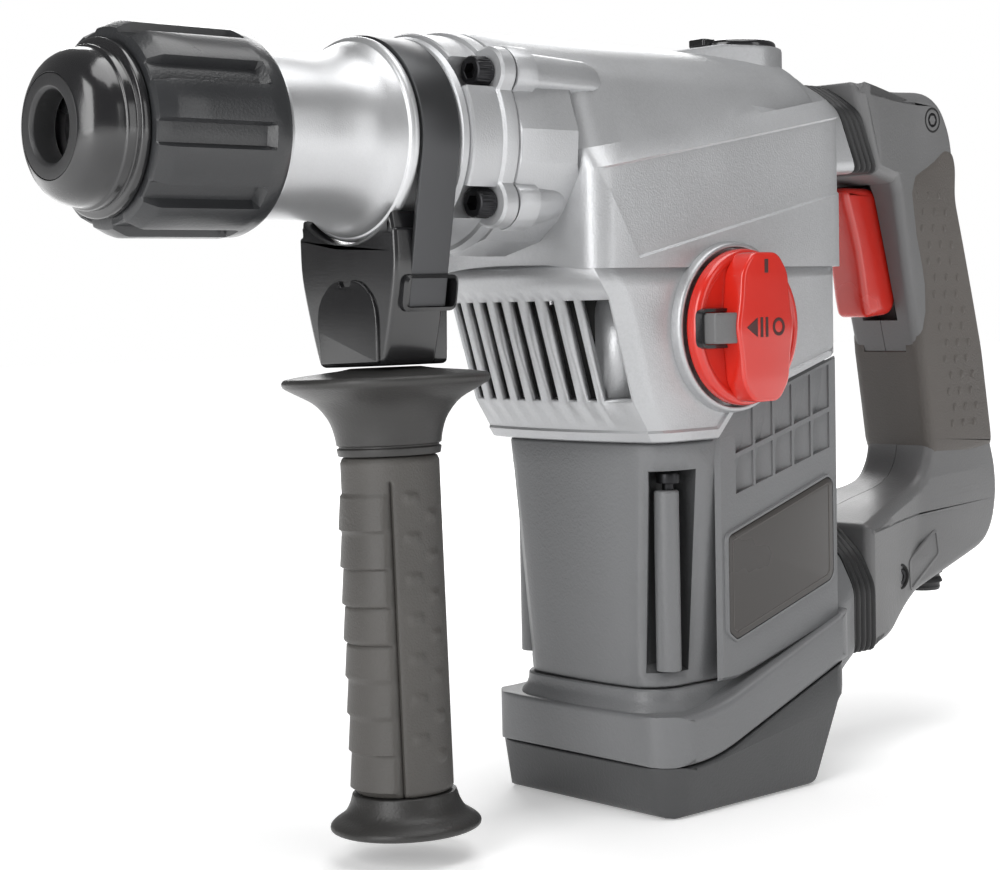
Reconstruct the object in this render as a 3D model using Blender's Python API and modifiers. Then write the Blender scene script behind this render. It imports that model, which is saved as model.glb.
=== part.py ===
"""Rotary hammer with a side handle, built as an assembly of its separate pieces.

The tool stands on its base. The origin is the middle of the base's flat underside, +X runs along the
barrel towards the rear handle, the nose points to -X, and +Z is up. Sizes are in millimetres, and MM
turns them into metres where a mesh is made.
"""

import math

import bmesh
import bpy
from mathutils import Matrix, Vector

MM = 0.001
GAP = 0.35                     # between faces that touch on the real tool
RUN = 0.6                      # between faces that slide or turn past each other
STEPS = 24                     # facets round a turned piece

# Heights, from the floor up.
CAP_DEPTH = 19.5               # base cap, floor to its seam
COLLAR_DEPTH = 18.5            # base collar, seam to rim
LEDGE = 8.0                    # from the collar's rim up to the motor housing
MOTOR_LENGTH = 91.0            # motor housing, up to the gearbox's lower lip
CASE_HEIGHT = 62.3             # lower gearbox half
AXIS_ABOVE_SEAM = 44.9         # barrel axis over the seam between the gearbox halves
RIM_Z = CAP_DEPTH + COLLAR_DEPTH
MOTOR_Z = RIM_Z + LEDGE
LIP_Z = MOTOR_Z + MOTOR_LENGTH
SEAM_Z = LIP_Z + CASE_HEIGHT
AXIS_Z = SEAM_Z + AXIS_ABOVE_SEAM

# Widths, from the middle plane out.
MOTOR_WIDTH = 43.0
MOTOR_FOOT_WIDTH = 36.5
CASE_WIDTH = 46.0
BASE_WIDTH = 48.5
ARM_WIDTH = 36.0               # where the gaiters sit
GRIP_WIDTH = 18.0
WALL = 3.2

# Places along the barrel, from the gearbox forwards.
CASE_REAR = 54.0
CASE_FRONT = -77.0
COVER_X = -106.0               # joint between gearbox and front cover
COVER_LENGTH = 23.5
SEAT_LENGTH = 17.5             # seat of the side handle's strap
NECK_LENGTH = 48.6             # flange and neck, ahead of the strap's seat
SLEEVE_LENGTH = 49.2
CAP_LENGTH = 19.0
SLEEVE_TRAVEL = 8.0
COVER_FRONT = COVER_X - COVER_LENGTH
SEAT_FRONT = COVER_FRONT - SEAT_LENGTH
SLEEVE_REAR = SEAT_FRONT - NECK_LENGTH
SLEEVE_FRONT = SLEEVE_REAR - SLEEVE_LENGTH
NOSE_X = SLEEVE_FRONT - CAP_LENGTH

# Radii round the barrel axis.
BORE_R = 11.0                  # opening of the dust cap
SHANK_R = 9.2                  # tool bore
HOLDER_R = 20.0                # tool holder inside the neck
CHUCK_R = 17.5                 # tool holder ahead of the neck
NECK_R = 27.0
SEAT_R = 32.6
FLANGE_R = 34.4
SLEEVE_R = 33.1
COVER_R = 38.0

# Side handle, down from the barrel axis.
STRAP_THICKNESS = 2.0
STRAP_WIDTH = 16.0
HANDLE_LEAN = math.radians(-1.8)
DISC_DEPTH = 81.2
DISC_R = 35.9
GRIP_TOP = 107.0
SIDE_GRIP_LENGTH = 115.0
SIDE_GRIP_R = 17.4
FOOT_DISC_R = 26.0
SIDE_X = SEAT_FRONT + SEAT_LENGTH / 2.0

# Motor and gear train. Motor, crank and bevel shaft stand upright in the middle plane.
MODULE = 1.2
PINION_TEETH = 7
CRANK_TEETH = 36
BEVEL_TEETH = 16
TEETH_SHY = 0.3                # tooth tips stop this far short of the pitch circle
PINION_R = MODULE * PINION_TEETH / 2.0
CRANK_R = MODULE * CRANK_TEETH / 2.0
BEVEL_R = MODULE * BEVEL_TEETH / 2.0
CRANK_X = -(PINION_R + CRANK_R)
BEVEL_X = CRANK_X - (CRANK_R + BEVEL_R)
THROW = 10.0
WEB_R = THROW + 4.7            # crank web, clear of the piston at the end of its stroke
ROD_LENGTH = 34.0
CYLINDER_R = 17.0
CROWN_R = 26.5
TRAIN_Z = SEAM_Z + 4.0         # underside of the gears that mesh
GEAR_THICKNESS = 6.0

# Rear handle: the grip's centre line as (x, share of the way up from the lower arm to the upper arm).
LOWER_ARM_TOP = MOTOR_Z + 60.0
UPPER_ARM_BOTTOM = AXIS_Z - 7.2
GRIP_LINE = ((172.0, 0.13), (168.7, 0.27), (164.7, 0.44), (158.6, 0.61), (152.6, 0.77), (145.9, 0.94))
GRIP_DEPTH = 23.0              # half of the grip, front to rear
GAITER_LENGTH = 13.5
GAITER_LOW_X = 73.5
GAITER_HIGH_X = 74.0
GAITER_LEAN = 0.48             # how much further back the upper gaiter sits for each unit down

# Mode selector.
KNOB_X = -10.0
KNOB_Z = LIP_Z + 40.6
KNOB_R = 28.5
KNOB_RING_R = 30.6
KNOB_FACE = 63.0

RISE_START = -25.0
RISE_SLOPE = math.tan(math.radians(18.5))


def rise(x):
    """How far the base's rim and seam have climbed at x on their way to the rear handle."""
    return max(0.0, x - RISE_START) * RISE_SLOPE


for old in list(bpy.data.objects):
    bpy.data.objects.remove(old, do_unlink=True)

PARTS = bpy.data.collections.new("rotary_hammer")
CUTTERS = bpy.data.collections.new("cutters")
for group in (PARTS, CUTTERS):
    bpy.context.scene.collection.children.link(group)


def paint(name, colour, roughness, metallic=0.0):
    material = bpy.data.materials.new(name)
    material.use_nodes = True
    shader = material.node_tree.nodes["Principled BSDF"]
    shader.inputs["Base Color"].default_value = (*colour, 1.0)
    shader.inputs["Roughness"].default_value = roughness
    shader.inputs["Metallic"].default_value = metallic
    material.diffuse_color = (*colour, 1.0)
    return material


MAGNESIUM = paint("painted_magnesium", (0.50, 0.51, 0.52), 0.42, 0.5)
STEEL = paint("ground_steel", (0.55, 0.55, 0.56), 0.3, 1.0)
DARK_STEEL = paint("dark_steel", (0.07, 0.07, 0.075), 0.4, 0.8)
GREY = paint("grey_nylon", (0.13, 0.135, 0.14), 0.5)
LIGHT_GREY = paint("light_grey_nylon", (0.27, 0.275, 0.28), 0.5)
DARK = paint("dark_nylon", (0.045, 0.045, 0.048), 0.5)
GLOSS_BLACK = paint("gloss_black_nylon", (0.02, 0.02, 0.022), 0.25)
SLEEVE_BLACK = paint("sleeve_nylon", (0.06, 0.062, 0.065), 0.4)
RUBBER = paint("soft_rubber", (0.09, 0.085, 0.08), 0.75)
GAITER = paint("gaiter_rubber", (0.02, 0.02, 0.02), 0.6)
RED = paint("red_nylon", (0.80, 0.045, 0.02), 0.35)
LABEL = paint("label_plate", (0.02, 0.017, 0.016), 0.35)
COPPER = paint("copper", (0.62, 0.28, 0.14), 0.35, 1.0)
LAMINATION = paint("laminated_iron", (0.2, 0.2, 0.21), 0.5, 0.8)
CARBON = paint("carbon", (0.03, 0.03, 0.03), 0.6)


def place(name, mesh, look, cutter=False):
    piece = bpy.data.objects.new(name, mesh)
    (CUTTERS if cutter else PARTS).objects.link(piece)
    if cutter:
        piece.hide_render = True
        piece.display_type = "WIRE"
    else:
        mesh.materials.append(look)
    return piece


def finish(name, bm, look, cutter=False):
    """Turns a bmesh in millimetres into an object in metres with its faces pointing out."""
    bmesh.ops.scale(bm, vec=(MM, MM, MM), verts=bm.verts)
    bmesh.ops.recalc_face_normals(bm, faces=bm.faces)
    mesh = bpy.data.meshes.new(name)
    bm.to_mesh(mesh)
    bm.free()
    return place(name, mesh, look, cutter)


def box(name, low, high, look, cutter=False):
    bm = bmesh.new()
    bmesh.ops.create_cube(bm, size=1.0)
    size = [b - a for a, b in zip(low, high)]
    middle = [(a + b) / 2.0 for a, b in zip(low, high)]
    bmesh.ops.scale(bm, vec=size, verts=bm.verts)
    bmesh.ops.translate(bm, vec=middle, verts=bm.verts)
    return finish(name, bm, look, cutter)


TURN = {"x": Matrix.Rotation(math.pi / 2.0, 4, "Y"), "y": Matrix.Rotation(-math.pi / 2.0, 4, "X"),
        "z": Matrix.Identity(4)}


def rod(name, radius, start, length, axis, look, cutter=False, sides=20):
    """A plain round bar from start, a point in millimetres, along +axis."""
    bm = bmesh.new()
    bmesh.ops.create_cone(bm, cap_ends=True, segments=sides, radius1=radius, radius2=radius, depth=length)
    bmesh.ops.translate(bm, vec=(0.0, 0.0, length / 2.0), verts=bm.verts)
    bmesh.ops.transform(bm, matrix=TURN[axis], verts=bm.verts)
    bmesh.ops.translate(bm, vec=start, verts=bm.verts)
    return finish(name, bm, look, cutter)


def turned(name, profile, centre, axis, look, cutter=False, steps=STEPS):
    """A lathe piece. The profile is (radius, place along the axis), from the high end down the outside.

    A profile that does not reach the axis at both ends is closed back up its inside.
    """
    mesh = bpy.data.meshes.new(name)
    points = [(r * MM, 0.0, along * MM) for r, along in profile]
    edges = [(k, k + 1) for k in range(len(points) - 1)]
    if profile[0][0] > 0.0:
        edges.append((len(points) - 1, 0))
    mesh.from_pydata(points, edges, [])
    piece = place(name, mesh, look, cutter)
    piece.matrix_world = Matrix.Translation(Vector(centre) * MM) @ TURN[axis]
    screw = piece.modifiers.new("lathe", "SCREW")
    screw.steps = screw.render_steps = steps
    screw.use_merge_vertices = True
    screw.merge_threshold = 0.00005
    screw.use_smooth_shade = True
    return piece


def plate(name, outline, low, high, plane, look, cutter=False):
    """A flat outline given in plane 'xz', 'yz' or 'xy', filled and given thickness from low to high."""
    curve = bpy.data.curves.new(name, "CURVE")
    curve.dimensions = "2D"
    curve.fill_mode = "BOTH"
    curve.extrude = (high - low) / 2.0 * MM
    spline = curve.splines.new("POLY")
    spline.points.add(len(outline) - 1)
    for point, (a, b) in zip(spline.points, outline):
        point.co = (a * MM, b * MM, 0.0, 1.0)
    spline.use_cyclic_u = True
    guide = bpy.data.objects.new(name + "_outline", curve)
    CUTTERS.objects.link(guide)
    bpy.context.view_layer.update()
    mesh = bpy.data.meshes.new_from_object(guide.evaluated_get(bpy.context.evaluated_depsgraph_get()))
    bpy.data.objects.remove(guide, do_unlink=True)
    mesh.name = name
    middle = (low + high) / 2.0 * MM
    columns = {"xz": ((1, 0, 0), (0, 0, 1), (0, -1, 0)), "yz": ((0, 1, 0), (0, 0, 1), (1, 0, 0)),
               "xy": ((1, 0, 0), (0, 1, 0), (0, 0, 1))}[plane]
    turn = Matrix(columns).transposed().to_4x4()
    shift = Vector(columns[2]) * (middle if plane != "xz" else -middle)
    bm = bmesh.new()
    bm.from_mesh(mesh)
    bmesh.ops.remove_doubles(bm, verts=bm.verts, dist=0.000001)
    bmesh.ops.transform(bm, matrix=Matrix.Translation(shift) @ turn, verts=bm.verts)
    bmesh.ops.recalc_face_normals(bm, faces=bm.faces)
    bm.to_mesh(mesh)
    bm.free()
    mesh.materials.clear()
    return place(name, mesh, look, cutter)


def loft(name, rings, look, cutter=False):
    """A closed skin over rings of equally many points, with flat ends."""
    bm = bmesh.new()
    loops = [[bm.verts.new(point) for point in ring] for ring in rings]
    count = len(rings[0])
    for near, far in zip(loops, loops[1:]):
        for k in range(count):
            bm.faces.new((near[k], near[(k + 1) % count], far[(k + 1) % count], far[k]))
    bm.faces.new(loops[0])
    bm.faces.new(loops[-1])
    return finish(name, bm, look, cutter)


def across(x, half, lean=0.0, foot=0.0):
    """A ring round the middle plane at x, from the (y, z) points of its half with y >= 0, bottom to top."""
    inner = [(y, z) for y, z in half if y > 0.001]
    full = half + [(-y, z) for y, z in reversed(inner)]
    return [(x - lean * (z - foot), y, z) for y, z in full]


def rounded(z, front, rear, width, corner, bulge=0.0, facets=3):
    """A level ring at height z: a rectangle with round corners whose rear may bulge out."""
    ring = []
    for cx, cy, start in ((rear - corner, width - corner, 0), (front + corner, width - corner, 90),
                          (front + corner, corner - width, 180), (rear - corner, corner - width, 270)):
        for k in range(facets + 1):
            turn = math.radians(start + 90.0 * k / facets)
            ring.append((cx + corner * math.cos(turn), cy + corner * math.sin(turn), z))
    if bulge:
        ring.insert(0, (rear + bulge, 0.0, z))
    return ring


def boolean(piece, tool, operation="DIFFERENCE"):
    change = piece.modifiers.new(operation.lower(), "BOOLEAN")
    change.operation = operation
    change.object = tool
    return piece


def join(piece, other):
    other.hide_render = True
    other.display_type = "WIRE"
    PARTS.objects.unlink(other)
    CUTTERS.objects.link(other)
    return boolean(piece, other, "UNION")


def soften(piece, width, segments=1, angle=40.0):
    bevel = piece.modifiers.new("edges", "BEVEL")
    bevel.width = width * MM
    bevel.segments = segments
    bevel.limit_method = "ANGLE"
    bevel.angle_limit = math.radians(angle)
    return piece


def tools_of(piece):
    """The cutters and joined shapes that a piece's Booleans use."""
    return [change.object for change in piece.modifiers if change.type == "BOOLEAN"]


def carry(pivot_name, point, pieces, lean=0.0):
    """Parents pieces, and what cuts them, to an empty on their joint's axis. A lean turns them about X there."""
    pivot = bpy.data.objects.new(pivot_name, None)
    pivot.location = Vector(point) * MM
    PARTS.objects.link(pivot)
    bpy.context.view_layer.update()
    riders = {member.name: member for piece in pieces for member in [piece] + tools_of(piece)}
    for rider in riders.values():
        rider.parent = pivot
        rider.matrix_parent_inverse = pivot.matrix_world.inverted()
    pivot.rotation_euler.x = lean
    return pivot


def toothed(name, radius, teeth, bottom, thickness, centre, look):
    """A spur wheel with an upright axis, its tips just short of the pitch radius."""
    tip = radius - TEETH_SHY
    root = tip - 1.5 * MODULE
    outline = []
    for k in range(teeth * 4):
        reach = tip if k % 4 in (0, 1) else root
        turn = 2.0 * math.pi * (k + (0.15 if k % 4 in (0, 2) else -0.15)) / (teeth * 4)
        outline.append((centre + reach * math.cos(turn), reach * math.sin(turn)))
    return plate(name, outline, bottom, bottom + thickness, "xy", look)


def ring(name, outer, inner, start, length, axis, look, steps=STEPS):
    """A plain ring that starts at the point start and runs along +axis."""
    profile = [(outer, length), (outer, 0.0), (inner, 0.0), (inner, length)]
    return turned(name, profile, start, axis, look, steps=steps)


def barrel_ring(name, outer, inner, front, rear, look, steps=STEPS):
    return ring(name, outer, inner, (front, 0.0, AXIS_Z), rear - front, "x", look, steps)


def barrel_turned(name, profile, look, steps=STEPS):
    """A lathe piece on the barrel axis. The profile's places are world x, from the rear end forwards."""
    return turned(name, profile, (0.0, 0.0, AXIS_Z), "x", look, steps=steps)


# ---------------------------------------------------------------- barrel, chuck and spindle
CHUCK_FRONT = SLEEVE_FRONT - GAP

dust_cap = barrel_turned("dust_cap", [
    (22.0, SLEEVE_FRONT + 6.0), (22.0, CHUCK_FRONT), (25.0, CHUCK_FRONT), (25.0, NOSE_X + 12.0),
    (23.0, NOSE_X + 5.0), (18.0, NOSE_X + 0.8), (16.0, NOSE_X), (BORE_R + 1.5, NOSE_X),
    (BORE_R, NOSE_X + 1.5), (BORE_R, NOSE_X + 9.0), (CHUCK_R + GAP, NOSE_X + 10.0),
    (CHUCK_R + GAP, SLEEVE_FRONT + 6.0)], GLOSS_BLACK)

tool_holder = barrel_turned("tool_holder", [
    (HOLDER_R, COVER_FRONT), (HOLDER_R, SLEEVE_REAR + 0.6), (25.4, SLEEVE_REAR + 0.6),
    (25.4, SLEEVE_REAR - 1.4),
    (CHUCK_R, SLEEVE_REAR - 1.4), (CHUCK_R, NOSE_X + 11.0), (SHANK_R, NOSE_X + 11.0),
    (SHANK_R, SLEEVE_REAR), (13.0, SLEEVE_REAR + 3.0), (13.0, COVER_FRONT - 12.0),
    (CYLINDER_R, COVER_FRONT - 12.0), (CYLINDER_R, COVER_FRONT)], STEEL)
LOCK_X = SLEEVE_FRONT + 22.0
for side in (-1.0, 1.0):
    slot = box("lock_slot", (LOCK_X - 9.0 - RUN, min(side * 8.0, side * 22.0), AXIS_Z - 3.6 - GAP),
               (LOCK_X + 9.0 + RUN, max(side * 8.0, side * 22.0), AXIS_Z + 3.6 + GAP), STEEL, True)
    boolean(tool_holder, slot)

locks = []
for side, word in ((-1.0, "near"), (1.0, "far")):
    low, high = sorted((side * (SHANK_R + 0.4), side * (CHUCK_R + 1.4)))
    locks.append(soften(box("locking_segment_" + word, (LOCK_X - 9.0, low, AXIS_Z - 3.6),
                            (LOCK_X + 9.0, high, AXIS_Z + 3.6), STEEL), 1.0))

sleeve_bore = NECK_R + 1.6
chuck_sleeve = barrel_turned("chuck_sleeve", [
    (SLEEVE_R - 3.0, SLEEVE_REAR), (SLEEVE_R, SLEEVE_REAR - 3.5), (SLEEVE_R, SLEEVE_FRONT + 3.0),
    (SLEEVE_R - 2.5, SLEEVE_FRONT), (25.7, SLEEVE_FRONT), (25.7, SLEEVE_FRONT + 7.0),
    (CHUCK_R + 2.2, SLEEVE_FRONT + 9.0), (CHUCK_R + 2.2, SLEEVE_FRONT + 33.0),
    (sleeve_bore, SLEEVE_FRONT + 33.0), (sleeve_bore, SLEEVE_REAR)], SLEEVE_BLACK, steps=30)

SPRING_REAR = SLEEVE_REAR - 2.0
SPRING_FRONT = SLEEVE_FRONT + 33.0 + 1.0
spring_curve = bpy.data.curves.new("sleeve_spring", "CURVE")
spring_curve.dimensions = "3D"
spring_curve.bevel_depth = 0.9 * MM
spring_curve.bevel_resolution = 1
spring_curve.use_fill_caps = True
coil = spring_curve.splines.new("POLY")
SPRING_TURNS = 3
POINTS_A_TURN = 14
coil.points.add(SPRING_TURNS * POINTS_A_TURN)
for k, point in enumerate(coil.points):
    turn = 2.0 * math.pi * k / POINTS_A_TURN
    share = k / (SPRING_TURNS * POINTS_A_TURN)
    along = SPRING_FRONT + 1.2 + share * (SPRING_REAR - SPRING_FRONT - 2.4)
    point.co = (along * MM, 23.6 * math.cos(turn) * MM, (AXIS_Z + 23.6 * math.sin(turn)) * MM, 1.0)
sleeve_spring = bpy.data.objects.new("sleeve_spring", spring_curve)
spring_curve.materials.append(STEEL)
PARTS.objects.link(sleeve_spring)

barrel_collar = barrel_turned("barrel_collar", [
    (SEAT_R, COVER_FRONT - GAP), (SEAT_R, SEAT_FRONT), (FLANGE_R, SEAT_FRONT), (FLANGE_R, SEAT_FRONT - 2.0),
    (32.5, SEAT_FRONT - 5.5), (29.5, SEAT_FRONT - 10.0), (27.8, SEAT_FRONT - 16.0),
    (NECK_R, SEAT_FRONT - 24.0),
    (NECK_R, SLEEVE_REAR + 3.0), (NECK_R - 1.0, SLEEVE_REAR + 2.0), (HOLDER_R + RUN, SLEEVE_REAR + 2.0),
    (HOLDER_R + RUN, SEAT_FRONT - 6.0), (26.0, SEAT_FRONT - 6.0), (26.0, COVER_FRONT - GAP)], MAGNESIUM)

shaft_seal = barrel_ring("shaft_seal", 26.0 - GAP, HOLDER_R + GAP, SEAT_FRONT - 5.0, SEAT_FRONT, RUBBER)
front_bearing = barrel_ring("front_bearing", 26.0 - GAP, HOLDER_R + GAP, SEAT_FRONT + 1.0, COVER_FRONT - 1.0,
                            STEEL)

BOLT_Y = 28.8
BOLT_UP = 22.0
LUG_LENGTH = 7.0
HEAD_R = 5.2
LUG_R = 8.5
LUG_BACK = 16.0                # lug on the gearbox, behind the joint
THREAD_R = 2.5
LUG_FRONT = COVER_X - LUG_LENGTH
front_cover = barrel_turned("front_cover", [
    (COVER_R, COVER_X - GAP), (COVER_R, COVER_FRONT + 11.0), (COVER_R - 1.5, COVER_FRONT + 9.0),
    (COVER_R - 1.5, COVER_FRONT + 3.0), (COVER_R - 3.0, COVER_FRONT), (24.0, COVER_FRONT),
    (24.0, COVER_X - GAP)],
    MAGNESIUM)
for side in (-1.0, 1.0):
    for up in (-1.0, 1.0):
        bolt_place = (side * BOLT_Y, AXIS_Z + up * BOLT_UP)
        join(front_cover, rod("cover_lug", LUG_R, (LUG_FRONT, *bolt_place), LUG_LENGTH - GAP, "x", MAGNESIUM,
                              sides=16))
        boolean(front_cover, rod("cover_hole", THREAD_R + GAP, (LUG_FRONT - 2.0, *bolt_place),
                                 LUG_LENGTH + 4.0,
                                 "x", MAGNESIUM, True, 12))
        boolean(front_cover, rod("head_pocket", HEAD_R + RUN, (COVER_FRONT - 4.0, *bolt_place),
                                 LUG_FRONT - COVER_FRONT + 4.0, "x", MAGNESIUM, True, 16))

bolt_holes = []
for side, word in ((-1.0, "near"), (1.0, "far")):
    for up, level in ((1.0, "upper"), (-1.0, "lower")):
        turned("cover_bolt_%s_%s" % (level, word), [
            (0.0, LUG_LENGTH + 12.0), (THREAD_R, LUG_LENGTH + 12.0), (THREAD_R, 0.0), (HEAD_R, 0.0),
            (HEAD_R, -6.4),
            (4.6, -7.0), (2.7, -7.0), (2.7, -3.5), (0.0, -3.5)],
            (LUG_FRONT - GAP, side * BOLT_Y, AXIS_Z + up * BOLT_UP), "x", DARK_STEEL, steps=12)
        hole_start = (COVER_X - 2.0, side * BOLT_Y, AXIS_Z + up * BOLT_UP)
        bolt_holes.append(rod("case_hole", THREAD_R + GAP, hole_start, 18.0, "x", MAGNESIUM, True, 12))

# ---------------------------------------------------------------- hammer mechanism
CYLINDER_REAR = BEVEL_X + 1.0
cylinder_tube = barrel_ring("cylinder_tube", 20.5, CYLINDER_R, COVER_FRONT + GAP, CYLINDER_REAR, STEEL)
crown_wheel = barrel_turned("crown_wheel", [
    (CROWN_R, CYLINDER_REAR - 2.0), (CROWN_R, CYLINDER_REAR - 8.0), (20.5 + GAP, CYLINDER_REAR - 8.0),
    (20.5 + GAP, CYLINDER_REAR - 2.0)], STEEL)
anvil = barrel_turned("anvil", [
    (0.0, COVER_FRONT - 13.0), (12.4, COVER_FRONT - 13.0), (12.4, SLEEVE_REAR + 30.0),
    (8.4, SLEEVE_REAR + 24.0),
    (8.4, SLEEVE_REAR + 2.0), (0.0, SLEEVE_REAR + 2.0)], STEEL, steps=16)
striker = barrel_turned("striker", [
    (0.0, COVER_FRONT + 31.0), (15.0, COVER_FRONT + 31.0), (16.4, COVER_FRONT + 29.5),
    (16.4, COVER_FRONT + 8.0),
    (12.0, COVER_FRONT + 4.0), (0.0, COVER_FRONT + 4.0)], STEEL, steps=16)
PIN_X = CRANK_X - THROW
WRIST_X = PIN_X - ROD_LENGTH
piston = barrel_turned("piston", [
    (0.0, WRIST_X + 9.0), (16.4, WRIST_X + 9.0), (16.4, WRIST_X - 14.0),
    (0.0, WRIST_X - 14.0)], STEEL, steps=16)
boolean(piston, box("piston_slot", (WRIST_X - 7.5, -6.6, AXIS_Z - 5.0), (WRIST_X + 12.0, 6.6, AXIS_Z + 5.0),
                    STEEL, True))
boolean(piston, rod("wrist_hole", 3.0 + GAP, (WRIST_X, 0.0, AXIS_Z - 20.0), 40.0, "z", STEEL, True))
wrist_pin = rod("wrist_pin", 3.0, (WRIST_X, 0.0, AXIS_Z - 13.0), 26.0, "z", STEEL)
ROD_HALF = 3.6


def arc(centre_x, centre_y, radius, degrees):
    """Points round a circle, one for each angle."""
    turns = [math.radians(angle) for angle in degrees]
    return [(centre_x + radius * math.cos(turn), centre_y + radius * math.sin(turn)) for turn in turns]


connecting_rod = plate("connecting_rod", arc(WRIST_X, 0.0, 5.8, range(60, 301, 40))
                       + arc(PIN_X, 0.0, 8.5, range(-135, 136, 30)),
                       AXIS_Z - ROD_HALF, AXIS_Z + ROD_HALF, "xy", STEEL)
boolean(connecting_rod, rod("small_eye", 3.0 + GAP, (WRIST_X, 0.0, AXIS_Z - 10.0), 20.0, "z", STEEL, True))
boolean(connecting_rod, rod("big_eye", 5.0, (PIN_X, 0.0, AXIS_Z - 10.0), 20.0, "z", STEEL, True))

# The crank pin stops just under the rod's big eye, where the closed linkage is opened.
PIN_TOP = AXIS_Z - ROD_HALF - 0.6
WEB_Z = AXIS_Z - 18.0
crank_shaft = turned("crank_shaft", [
    (0.0, WEB_Z + 6.0), (WEB_R, WEB_Z + 6.0), (WEB_R, WEB_Z), (7.0, WEB_Z),
    (7.0, TRAIN_Z + GEAR_THICKNESS + GAP),
    (5.0, TRAIN_Z + GEAR_THICKNESS + GAP), (5.0, SEAM_Z - 12.0), (0.0, SEAM_Z - 12.0)],
    (CRANK_X, 0.0, 0.0), "z", STEEL, steps=16)
join(crank_shaft, rod("crank_pin", 4.2, (PIN_X, 0.0, WEB_Z + 3.0), PIN_TOP - WEB_Z - 3.0, "z", STEEL))
join(crank_shaft, toothed("crank_gear", CRANK_R, CRANK_TEETH, TRAIN_Z, GEAR_THICKNESS, CRANK_X, STEEL))
crank_bearing = ring("crank_bearing", 11.0, 5.0 + GAP, (CRANK_X, 0.0, SEAM_Z - 9.0), 8.0, "z", STEEL, 16)
bevel_shaft = turned("bevel_pinion_shaft", [
    (0.0, TRAIN_Z + 13.0), (5.0, TRAIN_Z + 13.0), (8.0, TRAIN_Z + 8.5), (8.0, TRAIN_Z + 7.5),
    (4.0, TRAIN_Z + 7.5), (4.0, SEAM_Z - 12.0), (0.0, SEAM_Z - 12.0)], (BEVEL_X, 0.0, 0.0), "z", STEEL,
                     steps=16)
join(bevel_shaft, toothed("bevel_shaft_gear", BEVEL_R, BEVEL_TEETH, TRAIN_Z, GEAR_THICKNESS, BEVEL_X, STEEL))
bearing_plate = plate("bearing_plate", [(-64.0, -30.0), (-56.0, -38.0), (30.0, -38.0), (36.0, -30.0),
                                        (36.0, 30.0), (30.0, 38.0), (-56.0, 38.0), (-64.0, 30.0)],
                      SEAM_Z - 8.0, SEAM_Z - 3.0, "xy", MAGNESIUM)
for hole_x, hole_r in ((CRANK_X, 11.0), (BEVEL_X, 4.0), (0.0, 9.0)):
    boolean(bearing_plate, rod("seat", hole_r + GAP, (hole_x, 0.0, SEAM_Z - 12.0), 14.0, "z", STEEL, True,
                               24))

# ---------------------------------------------------------------- motor
FIELD_LOW = MOTOR_Z + 28.0
FIELD_HIGH = LIP_Z - 10.0
armature_shaft = turned("armature_shaft", [
    (0.0, TRAIN_Z + GEAR_THICKNESS + 4.0), (2.4, TRAIN_Z + GEAR_THICKNESS + 4.0), (2.4, TRAIN_Z - 1.0),
    (4.0, TRAIN_Z - 1.0), (4.0, MOTOR_Z - 2.0), (0.0, MOTOR_Z - 2.0)], (0.0, 0.0, 0.0), "z", STEEL, steps=16)
join(armature_shaft, toothed("motor_pinion", PINION_R, PINION_TEETH, TRAIN_Z, GEAR_THICKNESS, 0.0, STEEL))
armature_core = ring("armature_core", 24.0, 4.0 + GAP, (0.0, 0.0, FIELD_LOW + 2.0),
                     FIELD_HIGH - FIELD_LOW - 4.0,
                     "z", LAMINATION)
commutator = ring("commutator", 14.0, 4.0 + GAP, (0.0, 0.0, MOTOR_Z + 12.0), 14.0, "z", COPPER, 16)
cooling_fan = turned("cooling_fan", [
    (34.0, LIP_Z + 6.0), (34.0, LIP_Z - 1.0), (26.0, LIP_Z - 3.0), (4.0 + GAP, LIP_Z - 3.0),
    (4.0 + GAP, LIP_Z + 4.0), (10.0, LIP_Z + 4.0), (12.0, LIP_Z), (31.0, LIP_Z)], (0.0, 0.0, 0.0), "z", DARK)
stator = plate("stator", [(44.0, -26.0), (44.0, 26.0), (34.0, 35.5), (-16.0, 35.5), (-25.0, 27.5),
                          (-40.0, 20.0),
                          (-40.0, -20.0), (-25.0, -27.5), (-16.0, -35.5), (34.0, -35.5)],
               FIELD_LOW, FIELD_HIGH, "xy", LAMINATION)
boolean(stator, rod("field_bore", 24.8, (0.0, 0.0, FIELD_LOW - 2.0), FIELD_HIGH - FIELD_LOW + 4.0, "z",
                    STEEL, True))
upper_bearing = ring("motor_bearing_upper", 9.0, 4.0 + GAP, (0.0, 0.0, SEAM_Z - 8.5), 6.0, "z", STEEL, 16)
lower_bearing = ring("motor_bearing_lower", 9.0, 4.0 + GAP, (0.0, 0.0, MOTOR_Z), 6.0, "z", STEEL, 16)
brushes = []
for side, word in ((-1.0, "near"), (1.0, "far")):
    low, high = sorted((side * (14.0 + GAP), side * 30.0))
    brushes.append(box("carbon_brush_" + word, (-4.0, low, MOTOR_Z + 15.0), (4.0, high, MOTOR_Z + 23.0),
                       CARBON))

# ---------------------------------------------------------------- gearbox shells
CORNERS = 9


def box_half(width, bottom, side_top, shoulder, top):
    """Half a cross-section of the gearbox: upright side, bevel, shoulder and a flat top."""
    return [(0.0, bottom), (0.6 * width, bottom), (width, bottom), (width, (bottom + side_top) / 2.0),
            (width, side_top), (width - 6.0, side_top + 8.5), shoulder, (15.0, top), (0.0, top)]


def round_half(radius):
    return [(radius * math.sin(math.pi * k / (CORNERS - 1)),
             AXIS_Z - radius * math.cos(math.pi * k / (CORNERS - 1)))
            for k in range(CORNERS)]


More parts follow.
